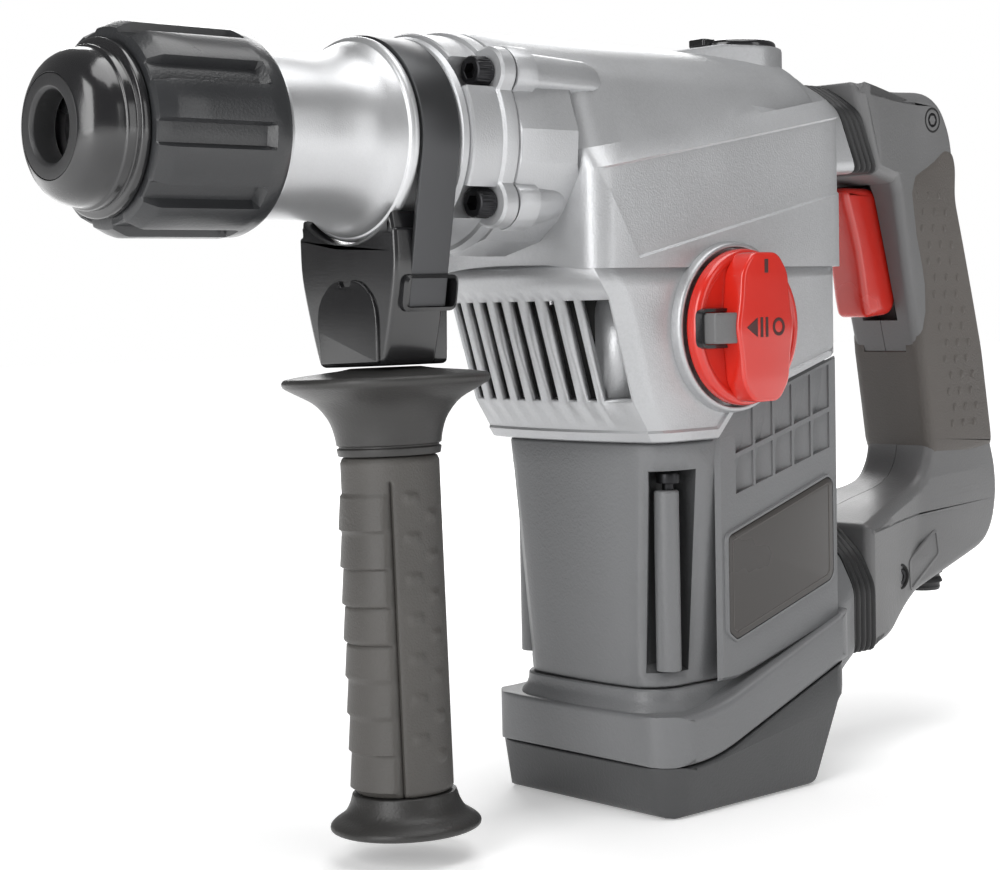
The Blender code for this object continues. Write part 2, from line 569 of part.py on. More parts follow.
def case_rings(inset, low_shift):
    """Rings of the upper gearbox half, moved inwards by inset; low_shift drops the open underside."""
    foot = SEAM_Z + GAP - low_shift
    rings = []
    for x, half in (
            (COVER_X - (2.0 if inset else 0.0), round_half(COVER_R - inset)),
            (COVER_X + 12.0, round_half(COVER_R + 0.5 - inset)),
            (CASE_FRONT + inset, box_half(CASE_WIDTH - 3.0 - inset, foot, AXIS_Z - 6.0,
                                          (31.0 - inset, AXIS_Z + 24.0), AXIS_Z + 39.0 - inset)),
            (CASE_FRONT + 19.0, box_half(CASE_WIDTH - inset, foot, AXIS_Z - 3.0,
                                         (31.0 - inset, AXIS_Z + 22.0), AXIS_Z + 39.0 - inset)),
            (10.0, box_half(CASE_WIDTH - inset, foot, AXIS_Z + 4.0,
                            (33.0 - inset, AXIS_Z + 15.0), AXIS_Z + 39.0 - inset)),
            (CASE_REAR + 4.0 - inset, box_half(CASE_WIDTH - 2.0 - inset, foot, AXIS_Z + 10.0,
                                               (33.0 - inset, AXIS_Z + 20.0), AXIS_Z + 35.0 - inset))):
        rings.append(across(x, half))
    return rings


gearbox_upper = loft("gearbox_upper", case_rings(0.0, 0.0), MAGNESIUM)


def arm_half(width, low, high):
    """Half a cross-section of the upper arm and its gaiter."""
    return [(0.0, low), (0.6 * width, low), (width, low + 4.0), (width, low + 22.0),
            (0.8 * width, high - 7.0),
            (0.5 * width, high - 1.0), (0.0, high)]


HIGH_LOW = UPPER_ARM_BOTTOM
HIGH_TOP = AXIS_Z + 29.5
HIGH_FOOT = AXIS_Z + 16.0
stub = loft("upper_stub", [across(CASE_REAR - 4.0, arm_half(32.0, HIGH_LOW - 2.0, HIGH_TOP + 3.0)),
                           across(GAITER_HIGH_X - GAP, arm_half(31.0, HIGH_LOW, HIGH_TOP),
                                  GAITER_LEAN, HIGH_FOOT)], MAGNESIUM)
join(gearbox_upper, stub)
boolean(gearbox_upper, loft("upper_cavity", case_rings(WALL + 0.6, 12.0), MAGNESIUM, True))
for side in (-1.0, 1.0):
    for up in (-1.0, 1.0):
        lug_start = (COVER_X + GAP, side * BOLT_Y, AXIS_Z + up * BOLT_UP)
        join(gearbox_upper, rod("case_lug", LUG_R, lug_start, LUG_BACK, "x", MAGNESIUM, sides=16))
for tool in bolt_holes:
    boolean(gearbox_upper, tool)
BOSS_X = 45.0
BOSS_R = 19.0
boss = rod("cap_boss", BOSS_R, (BOSS_X, 0.0, AXIS_Z + 20.0), 22.0, "z", MAGNESIUM, sides=20)
join(gearbox_upper, boss)
boolean(gearbox_upper, rod("cap_hole", 12.0 + RUN, (BOSS_X, 0.0, AXIS_Z + 10.0), 40.0, "z", MAGNESIUM, True,
                           24))
grease_cap = turned("grease_cap", [
    (0.0, AXIS_Z + 45.0), (15.5, AXIS_Z + 45.0), (17.0, AXIS_Z + 44.0), (17.0, AXIS_Z + 42.0 + GAP),
    (12.0, AXIS_Z + 42.0 + GAP), (12.0, AXIS_Z + 30.0), (0.0, AXIS_Z + 30.0)], (BOSS_X, 0.0, 0.0), "z",
    GLOSS_BLACK, steps=20)

# The grey motor panel climbs over the gearbox's lower edge behind this line.
STEP_X = -18.0
STEP_Z = LIP_Z + 11.5


def border(shift):
    return [(-90.0, LIP_Z + shift), (STEP_X, LIP_Z + shift), (STEP_X + 11.0, STEP_Z + shift),
            (CASE_REAR + 20.0, STEP_Z + shift + (CASE_REAR + 9.0) * 0.3)]


def case_ring(z, front, inset=0.0):
    return rounded(z, front + inset, CASE_REAR - inset, CASE_WIDTH - 1.0 - inset, 9.0 - inset / 2.0, 7.0)


GRILLE_HIGH = SEAM_Z - 10.7
GRILLE_LOW = LIP_Z + 15.0
case_levels = ((LIP_Z, -48.5), (GRILLE_LOW, -58.5), (GRILLE_HIGH, -69.5), (SEAM_Z - GAP, CASE_FRONT))
gearbox_lower = loft("gearbox_lower", [case_ring(z, front) for z, front in case_levels], MAGNESIUM)
cavity_levels = ((LIP_Z - 1.0, -48.0),) + case_levels[1:3] + ((SEAM_Z + 1.0, CASE_FRONT),)
boolean(gearbox_lower, loft("lower_cavity", [case_ring(z, front, WALL) for z, front in cavity_levels], GREY,
                            True))
boolean(gearbox_lower, plate("lower_edge", border(0.0) + [(CASE_REAR + 20.0, LIP_Z - 30.0),
                                                          (-90.0, LIP_Z - 30.0)],
                             -60.0, 60.0, "xz", GREY, True))
GRILLE_SLOTS = 8
SLOT_PITCH = 8.9
for k in range(GRILLE_SLOTS):
    middle = 37.5 - k * SLOT_PITCH
    boolean(gearbox_lower, box("grille_slot", (-90.0, middle - 2.4, GRILLE_LOW),
                               (-48.0, middle + 2.4, GRILLE_HIGH),
                               GREY, True))
boolean(gearbox_lower, rod("selector_hole", 6.0 + GAP, (KNOB_X, -CASE_WIDTH - 5.0, KNOB_Z), 14.0, "y", GREY,
                           True))

# ---------------------------------------------------------------- motor housing
def motor_ring(z, inset=0.0):
    share = (z - MOTOR_Z) / MOTOR_LENGTH
    width = MOTOR_FOOT_WIDTH + (MOTOR_WIDTH - MOTOR_FOOT_WIDTH) * min(1.0, share) - inset
    return rounded(z, -44.0 - 3.5 * min(1.0, share) + inset, 52.0 - inset, width, 9.0 - inset / 2.0)


PANEL_TOP = SEAM_Z - 30.0
PAD_WIDTH = MOTOR_WIDTH + 0.6
PAD_FRONT = STEP_X + 2.0
FOOT_SLOPE = 0.27
POCKET_LOW = MOTOR_Z + 6.0
POCKET_HIGH = LIP_Z - 10.5
POCKET_INNER = 31.0
ABOVE_BORDER = [(CASE_REAR + 20.0, SEAM_Z + 9.0), (-90.0, SEAM_Z + 9.0)]


def foot_line(shift):
    """Top of the base collar inside its rim, where the motor housing stands."""
    return [(-90.0, MOTOR_Z + shift), (-5.0, MOTOR_Z + shift),
            (CASE_REAR + 20.0, MOTOR_Z + shift + (CASE_REAR + 25.0) * FOOT_SLOPE)]


motor_housing = loft("motor_housing", [motor_ring(z) for z in (MOTOR_Z - 2.0, LIP_Z, PANEL_TOP)], GREY)
for side in (-1.0, 1.0):
    low, high = sorted((side * PAD_WIDTH, side * 34.0))
    pad = plate("label_pad", [(PAD_FRONT, MOTOR_Z + 2.0), (50.0, MOTOR_Z + 6.0), (50.0, PANEL_TOP),
                              (PAD_FRONT, PANEL_TOP)], low, high, "xz", GREY)
    join(motor_housing, pad)
motor_cavity = loft("motor_cavity", [motor_ring(z, 2.0) for z in (MOTOR_Z - 4.0, LIP_Z, PANEL_TOP + 2.0)],
                    GREY, True)
for side in (-1.0, 1.0):
    low, high = sorted((side * 60.0, side * (POCKET_INNER - 2.0)))
    boolean(motor_cavity, box("pocket_wall", (-60.0, low, POCKET_LOW - 8.0), (-24.0, high, POCKET_HIGH + 4.0),
                              GREY, True))
boolean(motor_housing, motor_cavity)
for side in (-1.0, 1.0):
    low, high = sorted((side * 60.0, side * POCKET_INNER))
    boolean(motor_housing, box("screw_pocket", (-43.5, low, POCKET_LOW), (-26.5, high, POCKET_HIGH), GREY,
                               True))
boolean(motor_housing, plate("motor_edge", border(-GAP) + ABOVE_BORDER, -60.0, 60.0, "xz", GREY, True))
boolean(motor_housing, plate("motor_foot", foot_line(GAP) + [(CASE_REAR + 20.0, 0.0), (-90.0, 0.0)],
                             -60.0, 60.0, "xz", GREY, True))
motor_screws = []
for side, word in ((-1.0, "near"), (1.0, "far")):
    motor_screws.append(turned("motor_screw_" + word, [
        (0.0, 0.0), (4.4, 0.0), (4.4, -4.5), (2.6, -4.5), (2.6, -2.5), (0.0, -2.5)],
        (-35.0, side * 36.2, POCKET_HIGH - GAP), "z", DARK_STEEL, steps=12))
LABEL_OUTLINE = [(-12.0, MOTOR_Z + 54.5), (-12.0, MOTOR_Z + 19.0), (-8.0, MOTOR_Z + 16.0),
                 (46.5, MOTOR_Z + 32.5),
                 (48.5, MOTOR_Z + 35.5), (48.5, MOTOR_Z + 70.5), (46.0, MOTOR_Z + 72.5)]
nameplate = plate("nameplate", LABEL_OUTLINE, -PAD_WIDTH - 1.2, -PAD_WIDTH - GAP, "xz", LABEL)

# ---------------------------------------------------------------- base
BASE_FRONT = -50.0
CAP_REAR = 42.0
CAP_TAIL = 57.0


def tapered(piece, foot, amount):
    """Draws a plate's sides in below the height foot, by amount for each unit down."""
    for vertex in piece.data.vertices:
        below = max(0.0, foot * MM - vertex.co.z)
        vertex.co.y -= math.copysign(below * amount, vertex.co.y)
        if vertex.co.x < 0.0:
            vertex.co.x += below * amount
    return piece


ARM_LOW = CAP_DEPTH + rise(GAITER_LOW_X) - 9.0
ARM_SIDE = RIM_Z + rise(GAITER_LOW_X)
ARM_HIGH = ARM_SIDE + 24.0

base_cap = tapered(plate("base_cap", [
    (BASE_FRONT, CAP_DEPTH - GAP), (BASE_FRONT, 0.0), (CAP_REAR - 4.0, 0.0),
    (CAP_REAR + 5.0, CAP_DEPTH + 14.0),
    (CAP_TAIL, CAP_DEPTH + rise(CAP_TAIL) - 9.0), (CAP_TAIL, CAP_DEPTH + rise(CAP_TAIL) - GAP),
    (RISE_START, CAP_DEPTH - GAP)], -BASE_WIDTH, BASE_WIDTH, "xz", DARK), CAP_DEPTH, 0.2)
soften(base_cap, 3.5, 2)
boolean(base_cap, box("cap_cavity", (BASE_FRONT + 12.0, -36.0, 3.0), (CAP_REAR - 9.0, 36.0, CAP_DEPTH + 30.0),
                      DARK, True))

base_collar = plate("base_collar", [
    (BASE_FRONT - 1.0, RIM_Z), (BASE_FRONT, CAP_DEPTH), (RISE_START, CAP_DEPTH),
    (60.0, CAP_DEPTH + rise(60.0)),
    (60.0, RIM_Z + rise(60.0)), (RISE_START, RIM_Z)], -BASE_WIDTH, BASE_WIDTH, "xz", GREY)
soften(base_collar, 5.0, 2)
ledge = plate("collar_ledge", [(BASE_FRONT + 5.0, RIM_Z - 4.0), (BASE_FRONT + 5.0, MOTOR_Z),
                               (-5.0, MOTOR_Z)] + [
    (53.0, MOTOR_Z + 58.0 * FOOT_SLOPE), (53.0, RIM_Z + 8.0)], -MOTOR_FOOT_WIDTH - 2.0,
              MOTOR_FOOT_WIDTH + 2.0,
    "xz", GREY)
join(base_collar, ledge)


def low_arm_half(width, low, side, high):
    """Half a cross-section of the lower arm and its gaiter."""
    return [(0.0, low), (0.7 * width, low), (width, low + 4.0), (width, side), (0.8 * width, side + 13.0),
            (0.45 * width, high), (0.0, high)]


ARM_START = 57.4
collar_arm = loft("collar_arm", [
    across(ARM_START, low_arm_half(ARM_WIDTH + 5.0, CAP_DEPTH + rise(ARM_START) - 9.0,
                                   RIM_Z + rise(ARM_START),
                                   ARM_SIDE + 12.0)),
    across(GAITER_LOW_X - GAP, low_arm_half(ARM_WIDTH, ARM_LOW, ARM_SIDE, ARM_HIGH))], GREY)
join(base_collar, collar_arm)
boolean(base_collar, box("collar_cavity", (BASE_FRONT + 14.0, -30.0, CAP_DEPTH - 1.0),
                         (40.0, 30.0, MOTOR_Z + 40.0),
                         GREY, True))
SEAT_REAR = 52.4
boolean(base_collar, plate("motor_seat", [
    (-5.0, MOTOR_Z), (SEAT_REAR, MOTOR_Z + (SEAT_REAR + 5.0) * FOOT_SLOPE), (SEAT_REAR, SEAM_Z),
    (-5.0, SEAM_Z)],
    -PAD_WIDTH - GAP, PAD_WIDTH + GAP, "xz", GREY, True))

# ---------------------------------------------------------------- gaiters and rear handle
HIGH_REAR = GAITER_HIGH_X + GAITER_LENGTH
LOW_REAR = GAITER_LOW_X + GAITER_LENGTH
FOLDS = 4


def gaiter(name, front, lean, foot, half_at):
    """A bellows: folds of alternating depth from front to rear, open through its middle."""
    outside = []
    inside = []
    for k in range(2 * FOLDS + 1):
        x = front + GAP + (GAITER_LENGTH - 2.0 * GAP) * k / (2.0 * FOLDS)
        swell = 0.0 if k % 2 else 1.4
        outside.append(across(x, half_at(swell), lean, foot))
        inside.append(across(x, half_at(swell - 3.4), lean, foot))
    piece = loft(name, outside, GAITER)
    first = across(front - 3.0, half_at(-3.4), lean, foot)
    last = across(front + GAITER_LENGTH + 3.0, half_at(-3.4), lean, foot)
    return boolean(piece, loft(name + "_bore", [first, last], GAITER, True))


upper_gaiter = gaiter("upper_gaiter", GAITER_HIGH_X, GAITER_LEAN, HIGH_FOOT,
                      lambda swell: arm_half(29.0 + swell, HIGH_LOW + 1.5 - swell, HIGH_TOP - 1.5 + swell))
lower_gaiter = gaiter("lower_gaiter", GAITER_LOW_X, 0.0, 0.0,
                      lambda swell: low_arm_half(ARM_WIDTH - 2.0 + swell, ARM_LOW + 1.5 - swell, ARM_SIDE,
                                                 ARM_HIGH - 1.5 + swell))

GRIP_SPAN = UPPER_ARM_BOTTOM - LOWER_ARM_TOP


def grip_z(share):
    return LOWER_ARM_TOP + share * GRIP_SPAN


def grip_side(offset):
    """Points beside the grip's centre line, bottom to top, offset towards the rear."""
    return [(x + offset, grip_z(share)) for x, share in GRIP_LINE]


def high_plane(z):
    return HIGH_REAR + GAP - GAITER_LEAN * (z - HIGH_FOOT)


LA = LOWER_ARM_TOP
UA = UPPER_ARM_BOTTOM
HANDLE_OUTLINE = [
    (high_plane(UA), UA), (high_plane(HIGH_TOP), HIGH_TOP), (118.0, UA + 35.0), (150.0, UA + 37.0),
    (160.0, UA + 31.0), (167.0, UA + 19.0), (169.5, UA + 6.0)] + grip_side(GRIP_DEPTH)[::-1] + [
    (199.0, LA + 8.0), (200.0, LA - 6.0), (197.0, LA - 20.0), (190.0, LA - 29.0), (178.0, LA - 33.0),
    (140.0, LA - 45.0), (126.0, LA - 51.0), (110.0, LA - 60.0), (LOW_REAR + GAP, ARM_LOW),
    (LOW_REAR + GAP, ARM_HIGH), (115.0, LA - 4.0), (135.0, LA),
        (144.0, LA + 4.0)] + grip_side(-GRIP_DEPTH) + [
    (118.0, UA - 1.5)]


def handle_width(x):
    share = min(1.0, max(0.0, (x - LOW_REAR) / (138.0 - LOW_REAR)))
    return (1.0 - share) * (ARM_WIDTH - 3.0) + share * GRIP_WIDTH


def handle_half(name, side):
    low, high = sorted((side * GAP / 2.0, side * GRIP_WIDTH))
    piece = plate(name, HANDLE_OUTLINE, low, high, "xz", LIGHT_GREY)
    for vertex in piece.data.vertices:
        if abs(vertex.co.y) > GRIP_WIDTH / 2.0 * MM:
            vertex.co.y = side * handle_width(vertex.co.x / MM) * MM
    return piece


handle_near = handle_half("handle_shell_near", -1.0)
handle_far = handle_half("handle_shell_far", 1.0)


def pad_outline(grow):
    return grip_side(5.0 - grow) + [(152.0 - grow, UA + 6.0 + grow),
                                    (168.5 + grow, UA + 6.0 + grow)] + grip_side(
        GRIP_DEPTH + 0.8)[::-1] + [(199.5, LA + 8.0 - grow), (178.0 - grow, LA + 8.0 - grow)]


grip_rubber = plate("rear_grip_rubber", pad_outline(0.0), -GRIP_WIDTH - 0.5, GRIP_WIDTH + 0.5, "xz", RUBBER)
pad_room = pad_outline(GAP)
pad_cut = plate("pad_cut", pad_room[:8] + [(230.0, pad_room[7][1]), (230.0, pad_room[-1][1]), pad_room[-1]],
                -40.0, 40.0, "xz", RUBBER, True)
TRIGGER_WIDTH = 8.5
TRIGGER_HEADROOM = 1.4         # its rear top corner rises this much at most as it is pulled
trigger_top = grip_z(0.97)
trigger_foot = grip_z(0.555)
upper_points = [point for point in GRIP_LINE if point[1] > 0.6]
trigger_front = [(x - GRIP_DEPTH - 19.0, grip_z(share)) for x, share in upper_points]
trigger_back = [(x - GRIP_DEPTH + 4.0, grip_z(share)) for x, share in upper_points]
trigger = plate("trigger", [(118.0, trigger_foot), (136.0, trigger_foot + 1.0)] + trigger_back
                + [(124.0, trigger_top), (104.0, trigger_top)] + trigger_front[::-1],
                -TRIGGER_WIDTH, TRIGGER_WIDTH, "xz", RED)
TRIGGER_PIVOT = (116.0, 0.0, trigger_top - 4.0)
trigger_slot = plate("trigger_slot", [(90.0, trigger_foot - 1.5), (149.0, trigger_foot - 1.5)]
                     + [(x + 7.0 + RUN, z) for x, z in trigger_back]
                     + [(128.0, trigger_top + TRIGGER_HEADROOM),
                        (90.0, trigger_top + TRIGGER_HEADROOM)],
                     -TRIGGER_WIDTH - RUN, TRIGGER_WIDTH + RUN, "xz", RED, True)
SWITCH_LOW = (143.0, -8.0, grip_z(0.76))
SWITCH_HIGH = (149.5, 8.0, grip_z(0.93))
switch_body = box("switch_body", SWITCH_LOW, SWITCH_HIGH, DARK)
switch_room = box("switch_room", [v - RUN for v in SWITCH_LOW], [v + RUN for v in SWITCH_HIGH], DARK, True)
GLAND_X = 166.0
GLAND_R = 9.0
gland = ring("cable_gland", GLAND_R, 4.2, (GLAND_X, 0.0, LA - 48.0), 22.0, "z", GAITER, 20)
gland_hole = rod("gland_hole", GLAND_R + GAP, (GLAND_X, 0.0, LA - 60.0), 34.0 + GAP, "z", GAITER, True, 20)
SCREW_X = 120.0
SCREW_Z = LA - 36.0
screw_way = rod("handle_hole", 2.4 + GAP, (SCREW_X, -30.0, SCREW_Z), 42.0, "y", STEEL, True, 12)
boolean(handle_near, rod("head_recess", 4.2 + GAP, (SCREW_X, -60.0, SCREW_Z), 45.0, "y", STEEL, True, 16))
handle_screw = turned("handle_screw", [
    (0.0, 11.0), (2.4, 11.0), (2.4, -15.0 - GAP), (4.2, -15.0 - GAP), (4.2, -18.0), (2.0, -18.0),
    (2.0, -16.5),
    (0.0, -16.5)], (SCREW_X, 0.0, SCREW_Z), "y", DARK_STEEL, steps=12)
for half in (handle_near, handle_far):
    for tool in (pad_cut, trigger_slot, switch_room, gland_hole, screw_way):
        boolean(half, tool)

# ---------------------------------------------------------------- mode selector
RING_DEPTH = 5.0
join(gearbox_lower, ring("selector_ring", KNOB_RING_R, 22.0, (KNOB_X, -CASE_WIDTH - 3.0, KNOB_Z), RING_DEPTH,
                         "y",
                         MAGNESIUM))
boolean(gearbox_upper, rod("ring_seat", KNOB_RING_R + GAP, (KNOB_X, -CASE_WIDTH - 9.0, KNOB_Z),
                           6.0 + RING_DEPTH + GAP, "y", MAGNESIUM, True, STEPS))
DISC_BACK = -CASE_WIDTH - 3.0 - GAP
DISC_FACE = DISC_BACK - 5.2
knob = turned("mode_knob", [(0.0, DISC_BACK), (KNOB_R, DISC_BACK), (KNOB_R, DISC_FACE + 1.5),
                            (KNOB_R - 1.5, DISC_FACE), (0.0, DISC_FACE)], (KNOB_X, 0.0, KNOB_Z), "y", RED)
bar = plate("knob_bar", [(KNOB_X + a, KNOB_Z + b) for a, b in (
    (-7.0, -27.0), (7.0, -27.0), (14.0, -21.0), (15.0, 0.0), (14.0, 21.0), (7.0, 27.0), (-7.0, 27.0),
    (-14.0, 21.0), (-15.0, 0.0), (-14.0, -21.0))], -KNOB_FACE, DISC_FACE + 1.0, "xz", RED)
join(knob, bar)
LOCK_TRAVEL = 2.5
LOCK_LOW = (KNOB_X - 26.0, -KNOB_FACE + 1.5, KNOB_Z - 5.5)
LOCK_HIGH = (KNOB_X - 10.0, DISC_FACE - GAP, KNOB_Z + 5.5)
lock_button = box("knob_lock_button", LOCK_LOW, LOCK_HIGH, LIGHT_GREY)
boolean(knob, box("lock_room", (LOCK_LOW[0] - 5.0, LOCK_LOW[1] - GAP, LOCK_LOW[2] - GAP),
                  (LOCK_HIGH[0] + LOCK_TRAVEL + GAP, LOCK_HIGH[1] + 0.2, LOCK_HIGH[2] + GAP), RED, True))
selector_shaft = turned("selector_shaft", [
    (0.0, 14.0 - CASE_WIDTH), (2.5, 14.0 - CASE_WIDTH), (2.5, 9.0 - CASE_WIDTH), (6.0, 9.0 - CASE_WIDTH),
    (6.0, DISC_BACK + GAP), (0.0, DISC_BACK + GAP)], (KNOB_X, 0.0, KNOB_Z), "y", STEEL, steps=20)

# ---------------------------------------------------------------- side handle
STRAP_IN = SEAT_R + GAP
STRAP_OUT = STRAP_IN + STRAP_THICKNESS
LEG_ANGLE = 12.0
LEG_DEPTH = 57.0


def strap_outline(grow):
    """The strap seen along the barrel: round over the top, then two straight legs into the block."""
    sides = []
    for radius in (STRAP_OUT + grow, STRAP_IN - grow):
        over = arc(0.0, AXIS_Z, radius, range(-int(LEG_ANGLE), 181 + int(LEG_ANGLE), 12))
        start_y, start_z = over[0]
        foot_z = AXIS_Z - LEG_DEPTH - grow
        foot_y = start_y - (start_z - foot_z) * math.tan(math.radians(LEG_ANGLE))
        sides.append([(foot_y, foot_z)] + over + [(-foot_y, foot_z)])
    return sides[0] + sides[1][::-1]


clamp_strap = plate("clamp_strap", strap_outline(0.0), SIDE_X - STRAP_WIDTH / 2.0,
                    SIDE_X + STRAP_WIDTH / 2.0, "yz",
                    DARK_STEEL)
SADDLE_R = FLANGE_R + RUN
BLOCK_FOOT = DISC_DEPTH - 4.6
clamp_block = plate("clamp_block", arc(0.0, AXIS_Z, SADDLE_R, range(-130, -49, 10)) + [
    (25.0, AXIS_Z - 33.0), (26.0, AXIS_Z - 45.0), (22.0, AXIS_Z - 62.0), (17.5, AXIS_Z - BLOCK_FOOT),
    (-17.5, AXIS_Z - BLOCK_FOOT), (-22.0, AXIS_Z - 62.0), (-26.0, AXIS_Z - 45.0), (-25.0, AXIS_Z - 33.0)],
    SIDE_X - 15.0, COVER_FRONT - RUN, "yz", GLOSS_BLACK)
block_heel = box("block_heel", (COVER_FRONT - 4.0, -19.0, AXIS_Z - BLOCK_FOOT),
                 (SIDE_X + 14.0, 19.0, AXIS_Z - 44.0),
                 GLOSS_BLACK)
join(clamp_block, block_heel)
boolean(clamp_block, plate("strap_room", strap_outline(GAP), SIDE_X - STRAP_WIDTH / 2.0 - GAP,
                           SIDE_X + STRAP_WIDTH / 2.0 + GAP, "yz", GLOSS_BLACK, True))
boolean(clamp_block, box("bolt_head_room", (SIDE_X - 7.0, -7.0, AXIS_Z - 56.0),
                         (SIDE_X + 7.0, 7.0, AXIS_Z - 20.0),
                         GLOSS_BLACK, True))
boolean(clamp_block, rod("bolt_hole", 4.0 + GAP, (SIDE_X, 0.0, AXIS_Z - 90.0), 50.0, "z", GLOSS_BLACK, True))
BOLT_LENGTH = 66.0
clamp_bolt = turned("clamp_bolt", [
    (0.0, -50.0), (6.4, -50.0), (6.4, -56.0 + GAP), (4.0, -56.0 + GAP), (4.0, -56.0 - BOLT_LENGTH),
    (0.0, -56.0 - BOLT_LENGTH)], (SIDE_X, 0.0, AXIS_Z), "z", STEEL, steps=20)
GRIP_END = GRIP_TOP + SIDE_GRIP_LENGTH
CORE_R = 13.0
FOOT_DEPTH = GRIP_END + 13.4
handle_core = turned("handle_core", [
    (0.0, -BLOCK_FOOT - GAP), (12.0, -BLOCK_FOOT - GAP), (30.0, -DISC_DEPTH + 1.8),
    (DISC_R, -DISC_DEPTH + 1.0),
    (DISC_R, -DISC_DEPTH - 1.5), (31.0, -DISC_DEPTH - 4.0), (22.0, -DISC_DEPTH - 9.0),
    (17.8, -DISC_DEPTH - 17.0),
    (SIDE_GRIP_R, -GRIP_TOP + GAP), (CORE_R, -GRIP_TOP + GAP), (CORE_R, -GRIP_END - GAP),
    (SIDE_GRIP_R + 0.4, -GRIP_END - GAP), (SIDE_GRIP_R + 1.4, -GRIP_END - 3.5), (24.0, -FOOT_DEPTH + 4.0),
    (FOOT_DISC_R, -FOOT_DEPTH + 2.8), (FOOT_DISC_R, -FOOT_DEPTH),
    (0.0, -FOOT_DEPTH)], (SIDE_X, 0.0, AXIS_Z), "z",
    DARK)
boolean(handle_core, rod("bolt_room", 4.0 + RUN, (SIDE_X, 0.0, AXIS_Z - 130.0), 80.0, "z", DARK, True))
side_grip_rubber = ring("side_grip_rubber", SIDE_GRIP_R, CORE_R + GAP, (SIDE_X, 0.0, AXIS_Z - GRIP_END),
                        SIDE_GRIP_LENGTH - GAP, "z", RUBBER)

# ---------------------------------------------------------------- joints
carry("armature_axis", (0.0, 0.0, 0.0), [armature_shaft, armature_core, commutator, cooling_fan])
carry("crank_axis", (CRANK_X, 0.0, 0.0), [crank_shaft])
carry("bevel_axis", (BEVEL_X, 0.0, 0.0), [bevel_shaft])
carry("spindle_axis", (SLEEVE_REAR, 0.0, AXIS_Z), [tool_holder, dust_cap, cylinder_tube, crown_wheel, *locks])
carry("sleeve_axis", (SLEEVE_REAR, 0.0, AXIS_Z), [chuck_sleeve, sleeve_spring])
carry("piston_axis", (WRIST_X, 0.0, AXIS_Z), [piston, wrist_pin, connecting_rod])
carry("striker_axis", (COVER_X, 0.0, AXIS_Z), [striker])
carry("knob_axis", (KNOB_X, -CASE_WIDTH, KNOB_Z), [knob, selector_shaft])
carry("lock_axis", (KNOB_X, -KNOB_FACE, KNOB_Z), [lock_button])
carry("trigger_axis", TRIGGER_PIVOT, [trigger])
carry("rear_handle_axis", (LOW_REAR, 0.0, LOWER_ARM_TOP), [handle_near, handle_far, grip_rubber, switch_body,
                                                           gland,
                                                           handle_screw])
carry("side_clamp_axis", (SIDE_X, 0.0, AXIS_Z), [clamp_strap, clamp_block, clamp_bolt], HANDLE_LEAN)
carry("side_grip_axis", (SIDE_X, 0.0, AXIS_Z), [handle_core, side_grip_rubber], HANDLE_LEAN)
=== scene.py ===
import math

import bmesh
import bpy
import numpy as np
from mathutils import Matrix, Vector
from mathutils.geometry import tessellate_polygon


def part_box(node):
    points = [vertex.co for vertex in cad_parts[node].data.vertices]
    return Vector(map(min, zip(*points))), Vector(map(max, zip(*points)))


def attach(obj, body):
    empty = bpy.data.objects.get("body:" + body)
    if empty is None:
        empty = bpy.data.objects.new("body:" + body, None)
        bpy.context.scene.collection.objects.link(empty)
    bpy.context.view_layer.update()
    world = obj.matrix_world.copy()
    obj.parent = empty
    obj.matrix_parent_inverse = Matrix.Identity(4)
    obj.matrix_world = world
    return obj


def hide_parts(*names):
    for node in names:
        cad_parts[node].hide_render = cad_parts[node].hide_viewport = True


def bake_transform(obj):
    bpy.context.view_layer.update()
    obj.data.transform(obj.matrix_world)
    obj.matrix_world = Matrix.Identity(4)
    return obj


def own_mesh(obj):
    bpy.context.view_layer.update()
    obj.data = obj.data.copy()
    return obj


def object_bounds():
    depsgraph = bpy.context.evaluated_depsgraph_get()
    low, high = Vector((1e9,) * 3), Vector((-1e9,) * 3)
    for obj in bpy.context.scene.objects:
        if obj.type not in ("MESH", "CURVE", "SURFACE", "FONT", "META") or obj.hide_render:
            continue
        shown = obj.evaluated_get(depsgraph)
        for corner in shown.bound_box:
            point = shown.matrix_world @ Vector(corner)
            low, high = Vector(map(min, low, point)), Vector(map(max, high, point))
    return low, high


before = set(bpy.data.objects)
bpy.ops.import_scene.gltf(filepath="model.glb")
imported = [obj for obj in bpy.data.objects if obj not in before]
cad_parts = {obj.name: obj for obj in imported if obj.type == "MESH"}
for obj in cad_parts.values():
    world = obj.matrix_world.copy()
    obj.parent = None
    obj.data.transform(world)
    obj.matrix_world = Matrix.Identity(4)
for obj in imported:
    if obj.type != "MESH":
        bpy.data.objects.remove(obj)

cad_low, cad_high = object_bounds()

# ---------------------------------------------------------------- camera, lights and floor
# The tool stands on a pale studio floor. A long lens looks from the nose end and a little above
# the middle, one large soft light stands on the left, one hangs overhead and a weak one fills the right.
MM = 0.001
CAMERA_PLACE = Vector((-588.85, -557.86, 188.34)) * MM
CAMERA_AZIMUTH = math.radians(-42.14)
CAMERA_PITCH = math.radians(3.61)
CAMERA_ROLL = math.radians(-1.27)

